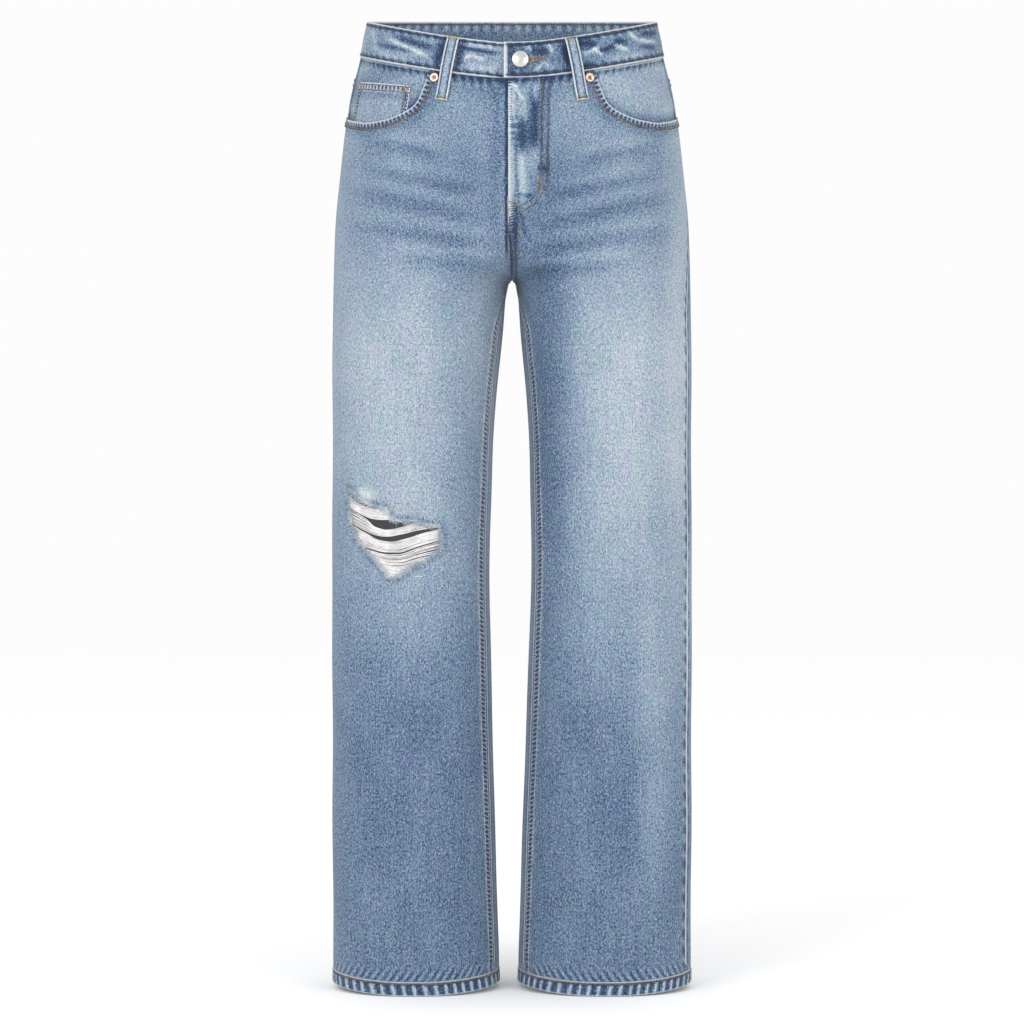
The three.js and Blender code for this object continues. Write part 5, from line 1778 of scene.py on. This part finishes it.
rim_cotton = cotton("frayed_rim", tone(240, 245, 248), tone(170, 190, 210))
rim = grown("frayed_rim_threads", frayed_rim(), spin, Sides=4, Thread=rim_cotton)
print("frayed rim:", len(rim.data.polygons), "faces")

# %% [markdown]
# ## Studio
# A pale floor and an even white surround light the jeans from every side, so the cloth keeps its own
# colours. A broad soft light from the front and left, and a weaker one from the right, bring out the grain
# and the creases without hard shadows.

# %% Floor, surround and lights
FLOOR_UNDER_HEM, FLOOR_REACH = 0.0006, 30


def make_floor():
    """A wide flat sheet just under the lowest hem."""
    height = cad_box[0].z - FLOOR_UNDER_HEM
    corners = [(x * FLOOR_REACH, y * FLOOR_REACH, height) for x, y in ((-1, -1), (1, -1), (1, 1), (-1, 1))]
    mesh = bpy.data.meshes.new("floor")
    mesh.from_pydata(corners, [], [(0, 1, 2, 3)])
    finish = Finish("studio_floor")
    cloud = finish.node("ShaderNodeTexNoise", {}, {"Scale": 0.4}) * 0.01
    finish.set(Base_Color=(0.93, 0.93, 0.93, 1), Roughness=cloud + 0.9, Specular_IOR_Level=0.0)
    mesh.materials.append(finish.set(Emission_Color=(1, 1, 1, 1), Emission_Strength=0.06))
    floor = put("floor", mesh)


def make_light(name, place, target, size, power):
    data = bpy.data.lights.new(name, "AREA")
    data.shape = "SQUARE"
    data.size = size
    data.energy = power
    light = put(name, data)
    light.location = place
    light.rotation_euler = (Vector(target) - Vector(place)).to_track_quat("-Z", "Y").to_euler()


def make_surround():
    world = bpy.data.worlds.new("surround")
    world.use_nodes = True
    background = world.node_tree.nodes["Background"].inputs
    background["Color"].default_value = (1, 1, 1, 1)
    background["Strength"].default_value = 0.98
    bpy.context.scene.world = world
    bpy.context.scene.view_settings.view_transform = "Standard"


make_floor()
make_surround()
make_light("key", (-1.9, -2.9, 1.0), (0, 0, -0.5), 1.8, 46)
make_light("fill", (2.2, -2.6, 0.4), (0, 0, -0.5), 1.8, 24)
print("floor at", round(cad_box[0].z - FLOOR_UNDER_HEM, 4), "m")

# %% [markdown]
# ## Which piece stands for which solid
# Every piece rides on the one body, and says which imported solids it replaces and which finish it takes.

# %% Riding, replacing and the sheets' cuts
def stands_for(piece, slot, finish, *nodes):
    """Gives a piece its finish, rides it on the one body, and names the solids it replaces. The slot is not
    used.
    """
    piece.data.materials.clear()
    piece.data.materials.append(finish)
    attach(piece, "root")
    if nodes:
        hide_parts(*nodes)


def cut_size(spread):
    """Width, length and area of a flat cut, in metres, from its grid of flat points."""
    width, length = (float(np.ptp(spread[..., i])) * MM for i in (0, 1))
    a, b = spread[1:, 1:] - spread[:-1, :-1], spread[1:, :-1] - spread[:-1, 1:]
    area = float(np.abs(a[..., 0] * b[..., 1] - a[..., 1] * b[..., 0]).sum()) / 2 * MM * MM
    return round(width, 3), round(length, 3), round(min(area, width * length), 4)


def panel_cut(side, back):
    """The flat points of a leg panel."""
    start, top, middle = (0.5, yoke_seam, BACK) if back else (0.0, pocket_mouth, FRONT)
    t, s = panel_places(side, start, start + 0.5, top, 60, 30)
    return flat(side, t, s, middle)


PIECES_OF_CLOTH = [
    ("front_right", front_right, panel_cut(-1, False)), ("front_left", front_left, panel_cut(1, False)),
    ("back_right", back_right, panel_cut(-1, True)), ("back_left", back_left, panel_cut(1, True)),
    ("yoke_right", yoke_right, yoke_right_cut), ("yoke_left", yoke_left, yoke_left_cut),
    ("pocket_facing_right", facing_right, facing_right_cut),
    ("pocket_facing_left", facing_left, facing_left_cut),
    ("coin_pocket", coin, coin_cut),
    ("back_pocket_right", pocket_right, pocket_right_cut), ("back_pocket_left", pocket_left, pocket_left_cut),
]
# The strips and threads that hang with each piece of cloth.
hem_denim = denim("hem_denim", rub=0.62, shadow=0.0, ragged_rub=1.5, rib_depth=0.36, crisp=2.2)
loop_denim = denim("loop_denim", rub=0.7, shadow=0.16, ragged_rub=0.8)
for word, piece, cut in PIECES_OF_CLOTH:
    stands_for(piece, "washed_denim", washed, word)
    width, length, area = cut_size(cut)
    print(f"{word}: cut {width:.3f} x {length:.3f} m, {area:.4f} m2")
stands_for(band, "band_denim", band_denim, "waistband")
stands_for(hem_right, "washed_denim", hem_denim, "hem_right")
stands_for(hem_left, "washed_denim", hem_denim, "hem_left")
for word, piece in loops.items():
    stands_for(piece, "band_denim", loop_denim, f"belt_loop_{word}")
stands_for(button, "button_metal", button_metal, "button")
stands_for(rivet_right, "rivet_metal", copper_metal, "rivet_right")
stands_for(rivet_left, "rivet_metal", brass_metal, "rivet_left")
for piece in stitches.values():
    stands_for(piece, "top_stitching", piece.data.materials[0])
stands_for(weft, "torn_weft", weft_cotton, *[f"torn_band_{i}" for i in range(1, 6)])
stands_for(rim, "washed_denim", rim_cotton)
shown = [piece for piece in bpy.context.scene.objects if piece.type == "MESH" and not piece.hide_render]
print("triangles:", sum(len(polygon.vertices) - 2 for piece in shown for polygon in piece.data.polygons))
